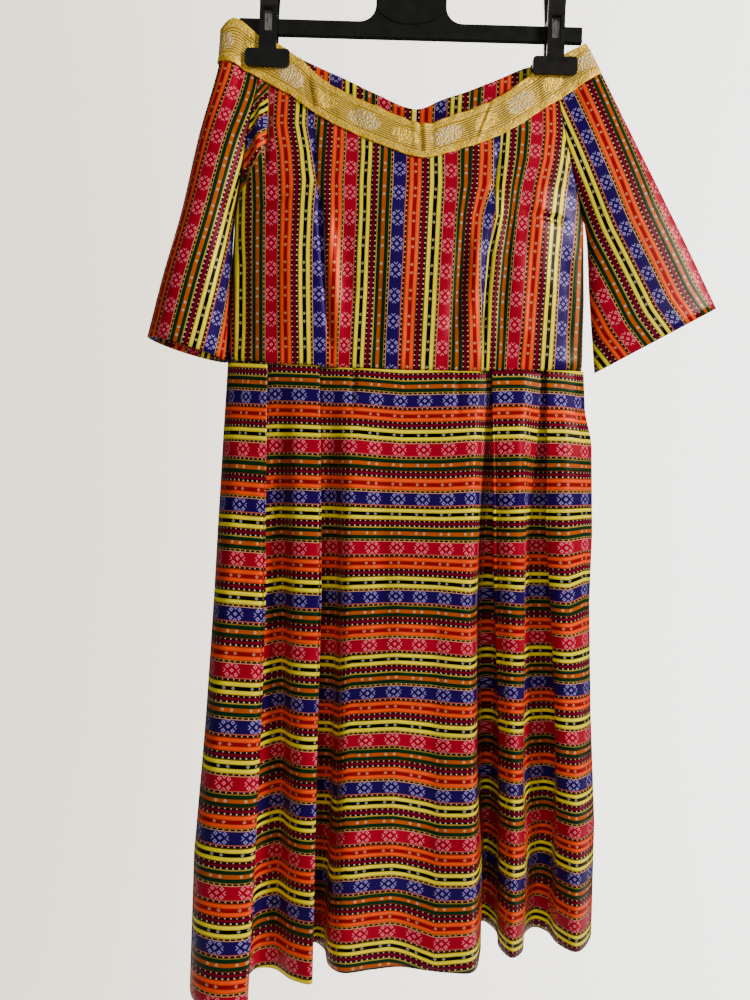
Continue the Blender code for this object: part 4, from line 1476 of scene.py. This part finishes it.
@dataclass
class NeckRibbon:
    """The gold ribbon sewn round the neckline, in millimetres.

    Attributes:
        flowers: Where the silver flowers lie across the front.
        front_half: How far to either side the front is read for them.
        creases: Its folds in front.
        puckers: The waves of its sewn edges.
        sewn: How far in from the edges they reach.
        loose: Height of the waves between the edges.
        loose_lengths: Their lengths to a radian: along, across and along on the slant.
        deepest: The lowest that its middle may lie, where it would meet the cloth.
        wall: Thickness of the ribbon.
        lift: How far its middle lies outside the middle of the cloth.
        sleeve_x: The place from which it lies over the left sleeve.
        sleeve_lift: How much higher it lies there.
        low_section: The section of a sleeve at the ribbon's lower edge.
        neck_steps: Samples to each stretch of the neckline.
        smoothings: How often its length is smoothed.
        rows: Rows of faces over its width.
        step: Length of a column.
    """

    flowers: tuple[float, ...] = (-130.0, -48.0, 43.0, 123.0)
    front_half: float = 160.0
    creases: tuple[Crease, ...] = (
        Crease(-117, 60, -104, 108, 4.0, -4.2),
        Crease(-108, 60, -94, 112, 4.5, 2.2),
        Crease(11, 104, 15, 158, 1.8, -2.6),
        Crease(17, 106, 20, 160, 2.4, 1.8),
        Crease(26, 104, 27, 156, 2.2, -1.6),
        Crease(6, 112, 8, 156, 3.0, 1.2),
        Crease(95, 82, 75, 140, 1.3, 1.5),
        Crease(91, 84, 71, 140, 1.6, -1.2),
        Crease(-84, 84, -70, 122, 6.0, 1.6),
        Crease(-62, 92, -56, 132, 6.0, -1.4),
        Crease(54, 112, 66, 140, 7.0, -1.6),
        Crease(104, 76, 112, 116, 7.0, 1.5),
        Crease(136, 55, 146, 96, 5.0, -1.6),
    )
    puckers: tuple[Wave, ...] = (Wave(0.45, 4.1, 0.0), Wave(0.3, 2.7, 1.3))
    sewn: float = 5.0
    loose: float = 0.5
    loose_lengths: tuple[float, float, float] = (11.0, 9.0, 23.0)
    deepest: float = -1.3
    wall: float = 1.0
    lift: float = 1.5
    sleeve_x: float = -172.0
    sleeve_lift: float = 0.6
    low_section: int = 2
    neck_steps: int = 10
    smoothings: int = 6
    rows: int = 36
    step: float = 1.15

    def neck_band(self, neck: tuple[Edge, ...], side: float) -> np.ndarray:
        """The strip of the bodice under the ribbon.

        Args:
            neck: The neckline.
            side: 1 in front, -1 behind.

        Returns:
            Rows of points from the upper edge.
        """
        tops = neck_line(neck, self.neck_steps)
        lows = neck_line(neck, self.neck_steps, low=True)
        share = np.linspace(0.0, 1.0, self.rows + 1)[:, None, None]
        at = mix(tops[None], lows[None], share)
        x, drop = at[..., 0], at[..., 1]
        left, right = side_value("left", drop), side_value("right", drop)
        x[:, 0], x[:, -1] = left[:, 0], right[:, -1]
        return place(x, side * bodice_depth(x, drop), drop)

    def sleeve_band(self, sleeve: Sleeve) -> np.ndarray:
        """The strip of a sleeve under the ribbon.

        Args:
            sleeve: The sleeve.

        Returns:
            Rows of points from the upper edge.
        """
        points = sleeve.surface()[: self.low_section * sleeve.steps + 1]
        at = np.linspace(0.0, len(points) - 1.0, self.rows + 1)
        low = np.minimum(at.astype(int), len(points) - 2)
        rows = mix(points[low], points[low + 1], (at - low)[:, None, None])
        return rows if sleeve.outward > 0 else rows[:, ::-1]

    def surface(self) -> tuple[np.ndarray, np.ndarray]:
        """Lays the ribbon round the neckline, from the centre back by the left side.

        Returns:
            Rows of points from its upper edge, and the millimetres along it.
        """
        back = self.neck_band(BACK_NECK, -1.0)
        centre = self.neck_steps * BACK_CENTRE
        left_sleeve, right_sleeve = (self.sleeve_band(sleeve) for sleeve in SLEEVES)
        parts = (
            back[:, centre::-1],
            left_sleeve,
            self.neck_band(FRONT_NECK, 1.0),
            right_sleeve,
            back[:, :centre:-1],
        )
        strip = np.concatenate([parts[0]] + [part[:, 1:] for part in parts[1:]], axis=1)
        lengths = np.linalg.norm(np.diff(strip.mean(axis=0), axis=0), axis=-1) / MM
        arc = np.concatenate(([0.0], np.cumsum(lengths)))
        keep = np.concatenate(([True], lengths > 0.05))
        strip, arc = strip[:, keep], arc[keep]
        wanted = np.linspace(0.0, arc[-1], round(arc[-1] / self.step) + 1)
        fine = np.empty((self.rows + 1, len(wanted), 3))
        for axis in range(3):
            for row in range(self.rows + 1):
                fine[row, :, axis] = np.interp(wanted, arc, strip[row, :, axis])
        for _ in range(self.smoothings):
            fine[:, 1:-1] = fine[:, 1:-1] / 2 + (fine[:, :-2] + fine[:, 2:]) / 4
        return fine, wanted

    def threads(self, middle: np.ndarray, along: np.ndarray) -> np.ndarray:
        """Stretches the woven pattern a little, so that its flowers lie where they do in front.

        Args:
            middle: The ribbon's middle line.
            along: Millimetres along it.

        Returns:
            Millimetres along the pattern at each point of the line.
        """
        front = np.flatnonzero((middle[:, 1] < 0.0) & (np.abs(middle[:, 0]) < self.front_half))
        places = np.interp(self.flowers, middle[front, 0], along[front])
        first = np.arange(places[0] - RIBBON_PITCH, 0.0, -RIBBON_PITCH)[::-1]
        last = np.arange(places[-1] + RIBBON_PITCH, along[-1], RIBBON_PITCH)
        places = np.concatenate((first, places, last))
        numbers = np.arange(len(places)) * RIBBON_PITCH
        before, after = numbers[0] - places[0], numbers[-1] + along[-1] - places[-1]
        numbers = np.concatenate(([before], numbers, [after]))
        places = np.concatenate(([0.0], places, along[-1:]))
        return np.interp(along, places, numbers)

    def relief(self, points: np.ndarray, along: np.ndarray, across: np.ndarray) -> np.ndarray:
        """How far the ribbon's middle lies outside the middle of the cloth.

        Args:
            points: The strip of cloth under it, in metres.
            along: Millimetres along it.
            across: Millimetres across it from its upper edge.

        Returns:
            The height in millimetres at each point.
        """
        x, drop = points[..., 0] / MM, BAR_TOP - points[..., 2] / MM
        height = crease_height(self.creases, x, drop) * (points[..., 1] < 0.0)
        half = RIBBON_WIDTH / 2
        edge = np.exp(-(((half - np.abs(across - half)) / self.sewn) ** 2))
        height += edge * sum(wave.height * np.sin(along / wave.length + wave.start) for wave in self.puckers)
        length, width, slant = self.loose_lengths
        height += self.loose * np.sin(along / length) * np.sin(across / width + along / slant)
        height = np.maximum(height, self.deepest) + self.lift
        height[:, x[self.rows // 2] < self.sleeve_x] += self.sleeve_lift
        return height

    def build(self) -> np.ndarray:
        """Builds the ribbon.

        Returns:
            The points of its upper edge.
        """
        points, along = self.surface()
        threads = self.threads(points[self.rows // 2] / MM, along)
        across = np.linspace(0.0, RIBBON_WIDTH, self.rows + 1)[:, None] * np.ones(len(along))
        grid = ClothGrid(points, across / REPEAT, threads[None, :] * np.ones_like(across))
        grid = grid.raised(self.relief(points, along, across))
        obj = cloth_mesh("neck_ribbon_cloth", grid)
        dress(obj, GoldRibbon().material(), self.wall, "neck_ribbon")
        return grid.points[0]


class Sway(NamedTuple):
    """How far one fold leans to the right on its way down, in millimetres at each of SWAY_LEVELS."""

    fold: float
    leans: tuple[float, ...]


class Sag(NamedTuple):
    """How far the stripes hang below their even places at one fold, at each of SAG_LEVELS."""

    fold: float
    drops: tuple[float, ...]


# Folds are counted from the left side seam, along the front and back again along the back.
SWAY_LEVELS = (0.0, 0.13, 0.28, 0.4, 0.6, 0.8, 1.0)
SWAYS = (
    Sway(0, (1, 0, 0, 0, 0, -2, 1)),
    Sway(2, (1, 0, -1, 0, -1, -4, 2)),
    Sway(4, (-2, 0, 2, 4.5, 4, 2, 0)),
    Sway(7, (-1, 0, 1, 3, 2, 1, 0)),
    Sway(9, (-1, 1.5, 3.5, 4.5, 2, 1, 0)),
    Sway(12, (0, 0, 1, 2, 0, 0, 0)),
    Sway(16, (0, 0, 0, 0, 0, 0, 0)),
    Sway(19, (1, -1, -3, -6, -3, 0, 0)),
    Sway(20, (1, -2, -4, -8, -3, 0, 0)),
    Sway(22, (0, 0, 0, 1, 4, 4, 3)),
    Sway(25, (0, 0, 0, 1, 6, 6, 3)),
    Sway(28, (0, -1, -2, 2, 8, 7, 4)),
    Sway(29, (-1, -2, -4, 0, 4, 6, 6)),
    Sway(32, (2, 4, 5, 2, 4, 9, 6)),
    Sway(36, (0, 0, 0, 0, 0, 0, 0)),
    Sway(60, (1, 0, 0, 0, 0, -2, 1)),
)
SAG_LEVELS = (0.0, 0.13, 0.22, 0.38, 0.54, 0.7, 0.87, 1.0)
SAGS = (
    Sag(0, (3, 10, 17, 25, 33, 37, 33, 27)),
    Sag(4, (3, 9, 17, 25, 33, 37, 33, 27)),
    Sag(7, (-2, 3, 6, 12, 15, 18, 16, 18)),
    Sag(9, (-2, 2, 5, 11, 15, 18, 16, 18)),
    Sag(12, (-1, 0, 3, 9, 13, 9, 5, -3)),
    Sag(13, (-1, 0, 3, 8, 12, 7, 4, -6)),
    Sag(14, (-1, 0, 3, 6, 5, -1, -3, -8)),
    Sag(15.6, (1, 2, 3, 3, 0, -3, -5, -8)),
    Sag(17.3, (-1, 1, 3, 4, 3, 6, 4, 4)),
    Sag(19, (-1, -2, 1, 7, 5, 5, 2, -3)),
    Sag(21, (-3, -2, 2, 5, 4, 4, 3, 0)),
    Sag(24, (-5, -2, 3, 3, 3, 5, 5, 3)),
    Sag(25, (-5, -2, 2, 5, 5, 7, 7, 4)),
    Sag(26, (-3, 0, 3, 1, 0, 0, 0, 0)),
    Sag(28, (-3, 0, 3, 1, 0, 0, 0, 0)),
    Sag(30, (-1, 1, 3, 4, 3, 4, 4, 4)),
    Sag(31, (1, 3, 3, -2, 4, 4, 5, 5)),
    Sag(38, (0, 3, 2, 4, 0, 2, 5, 0)),
    Sag(44, (0, 0, 0, 0, 0, 0, 0, 0)),
    Sag(51, (1, 4, 6, 5, 9, 11, 6, 8)),
    Sag(60, (3, 10, 17, 25, 33, 37, 33, 27)),
)


def by_fold(
    rows: Sequence[Sway | Sag], levels: tuple[float, ...], fold: np.ndarray, down: float
) -> np.ndarray:
    """The value of a table of folds at any place along the ring and any share of the length."""
    folds = [row[0] for row in rows]
    return np.interp(fold, folds, [np.interp(down, levels, row[1]) for row in rows])


@dataclass
class Skirt:
    """The pleated skirt: one front and two back panels cut from one ring of folds.

    Attributes:
        wall: Thickness of the cloth in millimetres.
        rows: Rows of faces from the waist to the hem.
        steps: Columns for each stretch between two folds.
        hem_drop: Drop of the hem.
        layer: From one layer of a pleat to the next.
        opening: Power by which the folds open on the way down.
        top_stripe: Stripe number at the waist seam.
        stripes: Stripes from the waist to the hem.
        sagging: Factor on the table of the stripes' sag.
        waist_edge: How far the waist stands from the middle plane at its sides.
        waist_depth: How much farther at its middle.
        hip: How far the right side swells out below the waist.
        hip_drop: Where the swelling starts, and over what height, in millimetres.
        hip_x: Where it starts across, and over what width.
        lying: Millimetres between columns from which the cloth counts as lying outwards.
        creases: Soft folds and the pleats' troughs, in front.
    """

    wall: float = 0.9
    rows: int = 110
    steps: int = 8
    hem_drop: float = 1022.0
    layer: float = 3.0
    opening: float = 1.12
    top_stripe: float = 5.5
    stripes: float = 12.25
    sagging: float = 1.03
    waist_edge: float = 0.75
    waist_depth: float = 27.4
    hip: float = 7.0
    hip_drop: tuple[float, float] = (420.0, 45.0)
    hip_x: tuple[float, float] = (150.0, 50.0)
    lying: float = 1.5
    creases: tuple[Crease, ...] = (
        Crease(-51, 372, -53, 440, 3.0, -3.4),
        Crease(60, 376, 62, 450, 3.0, -2.6),
        Crease(-58, 400, -30, 760, 14.0, 3.0),
        Crease(10, 520, 2, 1000, 16.0, 4.0),
        Crease(44, 560, 40, 1000, 12.0, -3.0),
        Crease(-38, 480, -40, 900, 10.0, -3.0),
        Crease(-172, 420, -180, 900, 10.0, 3.0),
        Crease(-112, 400, -106, 800, 9.0, 3.0),
        Crease(124, 400, 134, 760, 10.0, 4.0),
        Crease(176, 400, 190, 900, 9.0, 3.0),
        Crease(-132, 396, -119, 1010, 12.0, -9.0),
        Crease(-74, 396, -62, 1010, 11.0, -8.0),
        Crease(97, 400, 110, 960, 10.0, -9.0),
        Crease(150, 410, 158, 960, 10.0, -8.0),
        Crease(-98, 420, -90, 1000, 9.0, 2.6),
        Crease(-20, 430, -12, 700, 9.0, -2.2),
    )

    def waist_forward(self, x: float, layer: float) -> float:
        """How far in front of the middle plane a layer of a pleat lies at the waist."""
        across = min(1.0, abs(2.0 * (x - WAIST_LEFT) / (WAIST_RIGHT - WAIST_LEFT) - 1.0))
        return self.waist_edge + self.waist_depth * math.sqrt(1.0 - across**3) - layer * self.layer

    def ring(self, down: float) -> tuple[np.ndarray, np.ndarray]:
        """Samples the whole skirt at one level.

        Args:
            down: The share of its length.

        Returns:
            Places across and forward, and their x at the waist.
        """
        controls, feet = [], []
        for side, folds in ((1.0, SKIRT_FRONT), (-1.0, SKIRT_BACK)):
            for number, fold in enumerate(folds):
                waist = self.waist_forward(fold.waist_x, fold.layer) if number else 0.0
                forward = mix(side * waist, fold.hem_forward, down**self.opening)
                controls.append((mix(fold.waist_x, fold.hem_x, down), forward))
                feet.append(fold.waist_x)
        lean = by_fold(SWAYS, SWAY_LEVELS, np.arange(len(controls)), down)
        controls = np.array(controls, float) + np.stack((lean, lean * 0.0), axis=1)
        samples = curve_through(controls, self.steps, ring=True)
        closed = np.array(feet + feet[:1], float)
        at = np.arange(len(samples)) / self.steps
        return samples, np.interp(at, np.arange(len(closed)), closed)

    def surface(self) -> tuple[np.ndarray, np.ndarray]:
        """Stacks the rings from the waist to the hem.

        Returns:
            The closed rings of points, and each ring's share of the length.
        """
        rows = []
        shares = np.linspace(0.0, 1.0, self.rows + 1)
        for down in shares:
            samples, foot = self.ring(float(down))
            drop = mix(waist_drop(foot) + SEAM_GAP, self.hem_drop, down)
            swell = self.hip * ease((drop - self.hip_drop[0]) / self.hip_drop[1])
            weight = ease((samples[:, 0] - self.hip_x[0]) / self.hip_x[1]) * (1.0 - down)
            rows.append(place(samples[:, 0] + swell * weight, samples[:, 1], drop))
        points = np.array(rows)
        return np.concatenate((points, points[:, :1]), axis=1), shares

    def grid(self) -> ClothGrid:
        """Lays the stripes on the whole skirt, level round it but for their sag.

        Returns:
            The ring of cloth with its relief.
        """
        points, shares = self.surface()
        steps = np.linalg.norm(np.diff(points, axis=1), axis=-1).mean(axis=0) / MM
        arc = np.concatenate(([0.0], np.cumsum(steps)))
        fold = np.arange(len(arc)) / self.steps
        sag = np.array([by_fold(SAGS, SAG_LEVELS, fold, float(down)) for down in shares])
        stripe = self.top_stripe + self.stripes * shares[:, None] - sag * self.sagging / REPEAT
        grid = ClothGrid(points, stripe, arc[None, :] * np.ones((self.rows + 1, 1)))
        across, below = points[..., 0] / MM, BAR_TOP - points[..., 2] / MM
        height = crease_height(self.creases, across, below)
        # A pleat's turned-back layer and its edges stay where they are.
        height *= np.clip(np.gradient(across, axis=1) / self.lying, 0.0, 1.0)
        height[:, len(SKIRT_FRONT) * self.steps :] = 0.0
        return grid.raised(height)

    def build(self, satin: bpy.types.Material) -> None:
        """Builds the three panels.

        Args:
            satin: The striped satin.
        """
        whole = self.grid()
        side_right = len(SKIRT_FRONT) * self.steps
        centre = side_right + CENTRE_BACK_FOLD * self.steps
        seams = (0, side_right, centre, whole.stripe.shape[1] - 1)
        names = ("skirt_front", "skirt_back_right", "skirt_back_left")
        for name, (first, end) in zip(names, pairwise(seams)):
            dress(cloth_mesh(name + "_cloth", whole.columns(first, end)), satin, self.wall, name)


@dataclass(frozen=True)
class Thread:
    """Sewing thread of one dye.

    Attributes:
        name: The material's name.
        dark: Its darkest tone.
        light: Its lightest tone.
    """

    name: str
    dark: Colour
    light: Colour

    def material(self) -> bpy.types.Material:
        """Builds the thread's material.

        Returns:
            The material.
        """
        nodes = Nodes(self.name)
        twist = nodes.noise(nodes.place(), 900.0, 3.0)
        tone = nodes.fade(twist, 0.3, self.dark, 0.7, self.light)
        nodes.join(tone, nodes.shader.inputs["Base Color"])
        nodes.shader.inputs["Roughness"].default_value = 0.55
        nodes.bump(twist, 0.0002, 0.6)
        return nodes.material


@dataclass
class Sewing:
    """Loose thread ends at the neckline, and the concealed zip's teeth, in millimetres.

    Attributes:
        ends: How many loose ends there are.
        hidden: How far below the ribbon's upper edge they start.
        short: The lengths between which most of them lie.
        long: The lengths of every ninth.
        radii: A thread's radii at its start, its bend and its tip.
        red: The thread of two ends in three.
        dark: The thread of the third.
        tooth: Distance of two teeth.
        tooth_size: A tooth across, forward and down.
        zip_drop: Where the teeth start and end below the bar's top.
        zip_depth: How far inside the middle of the cloth they lie.
        nylon: What the teeth are made of.
    """

    ends: int = 260
    hidden: float = 0.8
    short: tuple[float, float] = (2.0, 4.2)
    long: tuple[float, float] = (4.5, 8.0)
    radii: tuple[float, float, float] = (0.26, 0.2, 0.12)
    red: Thread = Thread("red_thread", from_srgb(120, 4, 10), from_srgb(190, 20, 24))
    dark: Thread = Thread("dark_thread", from_srgb(20, 8, 8), from_srgb(60, 24, 20))
    tooth: float = 1.7
    tooth_size: tuple[float, float, float] = (1.3, 0.9, 0.9)
    zip_drop: tuple[float, float] = (112.0, 384.0)
    zip_depth: float = 0.35
    nylon: Thread = Thread("zip_nylon", from_srgb(46, 8, 14), from_srgb(88, 16, 24))

    def keep(self, bm: bmesh.types.BMesh, name: str, thread: Thread) -> None:
        """Turns a finished bmesh into one piece of the dress.

        Args:
            bm: The bmesh, which is freed.
            name: The piece's name.
            thread: What it is made of.
        """
        mesh = bpy.data.meshes.new(name)
        bm.to_mesh(mesh)
        bm.free()
        mesh.materials.append(thread.material())
        obj = bpy.data.objects.new(name, mesh)
        bpy.context.scene.collection.objects.link(obj)
        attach(obj, "root")
        LOG.info("%s: %d faces", name, len(mesh.polygons))

    def pin(self, bm: bmesh.types.BMesh, start: Vector, end: Vector, radii: tuple[float, float]) -> None:
        """Adds one short straight thread.

        Args:
            bm: Where it goes.
            start: Its start in metres.
            end: Its end in metres.
            radii: Its radii at start and end in millimetres.
        """
        turn = (end - start).to_track_quat("Z", "Y").to_matrix().to_4x4()
        bmesh.ops.create_cone(
            bm,
            cap_ends=True,
            segments=5,
            radius1=radii[0] * MM,
            radius2=radii[1] * MM,
            depth=(end - start).length,
            matrix=Matrix.Translation((start + end) / 2) @ turn,
        )

    def loose_ends(self, edge: np.ndarray) -> None:
        """Frayed ends of the cloth that stand up behind the ribbon's upper edge.

        Args:
            edge: Points along that edge.
        """
        dice = np.random.default_rng(11)
        reds, darks = bmesh.new(), bmesh.new()
        spots = np.sort(dice.uniform(0.02, 0.98, self.ends)) * (len(edge) - 1)
        for number, spot in enumerate(spots):
            start = Vector(edge[int(spot)]) + Vector((0.0, 0.0, -self.hidden * MM))
            half = dice.uniform(*(self.short if number % 9 else self.long)) * MM / 2
            lean = Vector((dice.uniform(-0.7, 0.7), dice.uniform(-0.3, 0.3), 1.0)).normalized()
            bend = start + lean * half
            bent = (lean + Vector((dice.uniform(-0.8, 0.8), dice.uniform(-0.5, 0.5), 0.0))).normalized()
            bm = reds if number % 3 else darks
            self.pin(bm, start, bend, self.radii[:2])
            self.pin(bm, bend, bend + bent * half, self.radii[1:])
        self.keep(reds, "neck_thread_ends_red", self.red)
        self.keep(darks, "neck_thread_ends_dark", self.dark)

    def zip_teeth(self) -> None:
        """The row of the concealed zip's teeth, deep in the centre-back seam."""
        bm = bmesh.new()
        size = Matrix.Diagonal((*(side * MM for side in self.tooth_size), 1.0))
        for drop in np.arange(*self.zip_drop, self.tooth):
            seam = back_seam(drop)
            spot = place(seam, self.zip_depth - bodice_depth(seam, drop), drop)
            bmesh.ops.create_cube(bm, size=1.0, matrix=Matrix.Translation(Vector(spot)) @ size)
        self.keep(bm, "zip_teeth", self.nylon)

    def build(self, edge: np.ndarray) -> None:
        """Builds the sewing.

        Args:
            edge: Points along the ribbon's upper edge.
        """
        self.loose_ends(edge)
        self.zip_teeth()


@dataclass(frozen=True)
class GoldRibbon:
    """Gold brocade: threads laid side by side, a wavy border at both edges and silver flowers.

    Attributes:
        thread: Distance of two threads in millimetres.
        wave: Length of one wave of the border.
        border: How far from the middle the border runs at the nearest.
        field: How far from the middle the plain threads reach.
        swing: How far the border swings with each wave's length.
        silver: A silver flower's half length and half width.
        gold: The same of the raised gold flowers between them.
        ragged: How ragged the flowers' outlines are.
    """

    thread: float = 2.5
    wave: float = 8.4
    border: float = 13.2
    field: float = 12.0
    swing: float = 6.0
    silver: tuple[float, float] = (18.0, 10.0)
    gold: tuple[float, float] = (14.0, 9.0)
    ragged: float = 2.2

    def spot(
        self, nodes: Nodes, along: Socket, across: Socket, noise: Socket, size: tuple[float, float]
    ) -> Socket:
        """Marks a ragged oval.

        Args:
            nodes: The material's nodes.
            along: Millimetres along from the oval's middle.
            across: Millimetres across from the ribbon's middle.
            noise: A noise of about 0.5 that makes the outline ragged.
            size: The oval's half length and half width.

        Returns:
            1 inside the oval, else 0.
        """
        a = nodes.math("POWER", nodes.times(along, 1.0 / size[0]), 2.0)
        b = nodes.math("POWER", nodes.times(across, 1.0 / size[1]), 2.0)
        reach = nodes.add(nodes.add(a, b), nodes.times(nodes.add(noise, -0.5), self.ragged))
        return nodes.math("LESS_THAN", reach, 1.0)

    def material(self) -> bpy.types.Material:
        """Builds the ribbon's material.

        Returns:
            The material.
        """
        nodes = Nodes("gold_brocade")
        width, length, _ = nodes.split(nodes.uv())
        off = nodes.add(nodes.times(width, 1.0 / MM), -RIBBON_WIDTH / 2)
        side = nodes.math("ABSOLUTE", off)
        turns = nodes.add(nodes.times(length, 1.0 / (RIBBON_PITCH * MM)), 0.5)
        share = nodes.math("ABSOLUTE", nodes.add(nodes.math("FRACT", turns), -0.5))
        near = nodes.times(share, RIBBON_PITCH)
        between = nodes.math("SUBTRACT", RIBBON_PITCH / 2, near)
        noise = nodes.noise(nodes.uv(), 330.0, 3.0)
        silver = self.spot(nodes, near, off, noise, self.silver)
        raised = self.spot(nodes, between, off, noise, self.gold)
        waves = nodes.math("FRACT", nodes.times(length, 1.0 / (self.wave * MM)))
        bent = nodes.times(nodes.math("ABSOLUTE", nodes.add(waves, -0.5)), self.swing)
        border = nodes.math("SUBTRACT", nodes.math("SUBTRACT", side, bent), self.border)
        zigzag = nodes.math("MAXIMUM", nodes.math("SUBTRACT", 1.0, nodes.math("ABSOLUTE", border)), 0.0)
        inner = nodes.math("LESS_THAN", side, self.field)
        drift = nodes.times(nodes.noise(nodes.uv(), 40.0, 2.0), 1.2)
        wavy = nodes.times(nodes.add(off, drift), 2.0 * math.pi / self.thread)
        ridges = nodes.add(nodes.times(nodes.math("SINE", wavy), 0.5), 0.5)
        fine = nodes.noise(nodes.uv(), 1500.0, 2.0, (1.0, 0.2, 1.0))
        knots = nodes.noise(nodes.uv(), 420.0, 2.0)
        plain = nodes.add(nodes.times(ridges, 0.75), nodes.times(fine, 0.35))
        knotted = nodes.add(nodes.times(zigzag, 0.7), nodes.times(knots, 0.9))
        edge = nodes.add(knotted, nodes.times(fine, 0.2))
        outer = nodes.math("SUBTRACT", 1.0, inner)
        height = nodes.add(nodes.times(inner, plain), nodes.times(outer, edge))
        cluster = nodes.math("MAXIMUM", silver, raised)
        lumps = nodes.add(nodes.times(knots, 1.7), -0.16)
        ground = nodes.math("SUBTRACT", 1.0, cluster)
        height = nodes.add(nodes.times(ground, height), nodes.times(cluster, lumps))
        self.finish(nodes, height, knots, silver)
        return nodes.material

    def finish(self, nodes: Nodes, height: Socket, knots: Socket, silver: Socket) -> None:
        """Adds the ribbon's colours, shine and relief, with painted shade in its hollows and painted
        highlight on its raised threads.

        Args:
            nodes: The material's nodes.
            height: The relief.
            knots: The noise of the knotted threads.
            silver: 1 on the silver flowers, else 0.
        """
        petals = nodes.times(silver, nodes.math("GREATER_THAN", knots, 0.5))
        # The colours follow the relief: painted shade darkens the hollows and a painted highlight lightens
        # the raised threads, the zigzag border and the petals.
        stops = (
            (0.1, from_srgb(84, 44, 2)),
            (0.4, from_srgb(234, 180, 16)),
            (0.68, from_srgb(255, 210, 44)),
            (1.0, from_srgb(255, 240, 140)),
        )
        gold = nodes.steps(height, stops, "LINEAR")
        pale = nodes.fade(height, 0.3, from_srgb(140, 116, 84), 0.75, from_srgb(208, 196, 172))
        nodes.join(nodes.blend(petals, gold, pale), nodes.shader.inputs["Base Color"])
        nodes.shader.inputs["Metallic"].default_value = 0.3
        nodes.join(nodes.add(nodes.times(knots, 0.3), 0.22), nodes.shader.inputs["Roughness"])
        nodes.bump(height, 0.0016, 1.0)


@dataclass(frozen=True)
class Plastic:
    """Black moulded plastic, slightly worn.

    Attributes:
        dark: Its darkest tone.
        light: Its lightest tone.
        shine: The level of its shine.
    """

    dark: Colour = from_srgb(8, 10, 12)
    light: Colour = from_srgb(15, 18, 21)
    shine: float = 0.28

    def material(self) -> bpy.types.Material:
        """Builds the plastic's material.

        Returns:
            The material.
        """
        nodes = Nodes("black_moulded_plastic")
        cloudy = nodes.noise(nodes.place(), 90.0, 4.0)
        tone = nodes.fade(cloudy, 0.3, self.dark, 0.7, self.light)
        nodes.join(tone, nodes.shader.inputs["Base Color"])
        nodes.join(nodes.add(nodes.times(cloudy, 0.2), 0.3), nodes.shader.inputs["Roughness"])
        nodes.shader.inputs["Specular IOR Level"].default_value = self.shine
        nodes.bump(nodes.noise(nodes.place(), 1400.0, 2.0), 0.00015, 0.4)
        return nodes.material


@dataclass(frozen=True)
class Steel:
    """Bright drawn or rolled steel.

    Attributes:
        dark: Its darkest tone.
        light: Its lightest tone.
    """

    dark: Colour = from_srgb(150, 150, 152)
    light: Colour = from_srgb(205, 205, 206)

    def material(self) -> bpy.types.Material:
        """Builds the steel's material.

        Returns:
            The material.
        """
        nodes = Nodes("bright_steel")
        drawn = nodes.noise(nodes.place(), 500.0, 3.0, (1.0, 1.0, 0.15))
        nodes.join(nodes.fade(drawn, 0.3, self.dark, 0.7, self.light), nodes.shader.inputs["Base Color"])
        nodes.shader.inputs["Metallic"].default_value = 1.0
        nodes.join(nodes.add(nodes.times(drawn, 0.2), 0.18), nodes.shader.inputs["Roughness"])
        return nodes.material


class Hanger:
    """Finishes of the hard parts that show as they are."""

    def build(self) -> None:
        """Gives the hanger, its clips and the zip's slider and pull their materials."""
        plastic, steel = Plastic().material(), Steel().material()
        hard = {"hanger_bar": plastic, "hanger_hook": steel, "zip_slider": steel, "zip_pull": steel}
        for side in ("left", "right"):
            hard[f"spring_{side}"] = steel
            for half in ("front", "back"):
                hard[f"clip_{side}_{half}"] = plastic
        for node, material in hard.items():
            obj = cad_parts[node]
            obj.data.materials.clear()
            obj.data.materials.append(material)
            LOG.info("%s: %s", node, material.name)


def main() -> None:
    """Builds the whole scene."""
    logging.basicConfig(level=logging.INFO)
    Stage().build()
    satin = StripedSatin().material()
    Bodice().build(satin)
    for sleeve in SLEEVES:
        sleeve.build(satin)
    Skirt().build(satin)
    Sewing().build(NeckRibbon().build())
    Hanger().build()


if __name__ == "__main__":
    main()
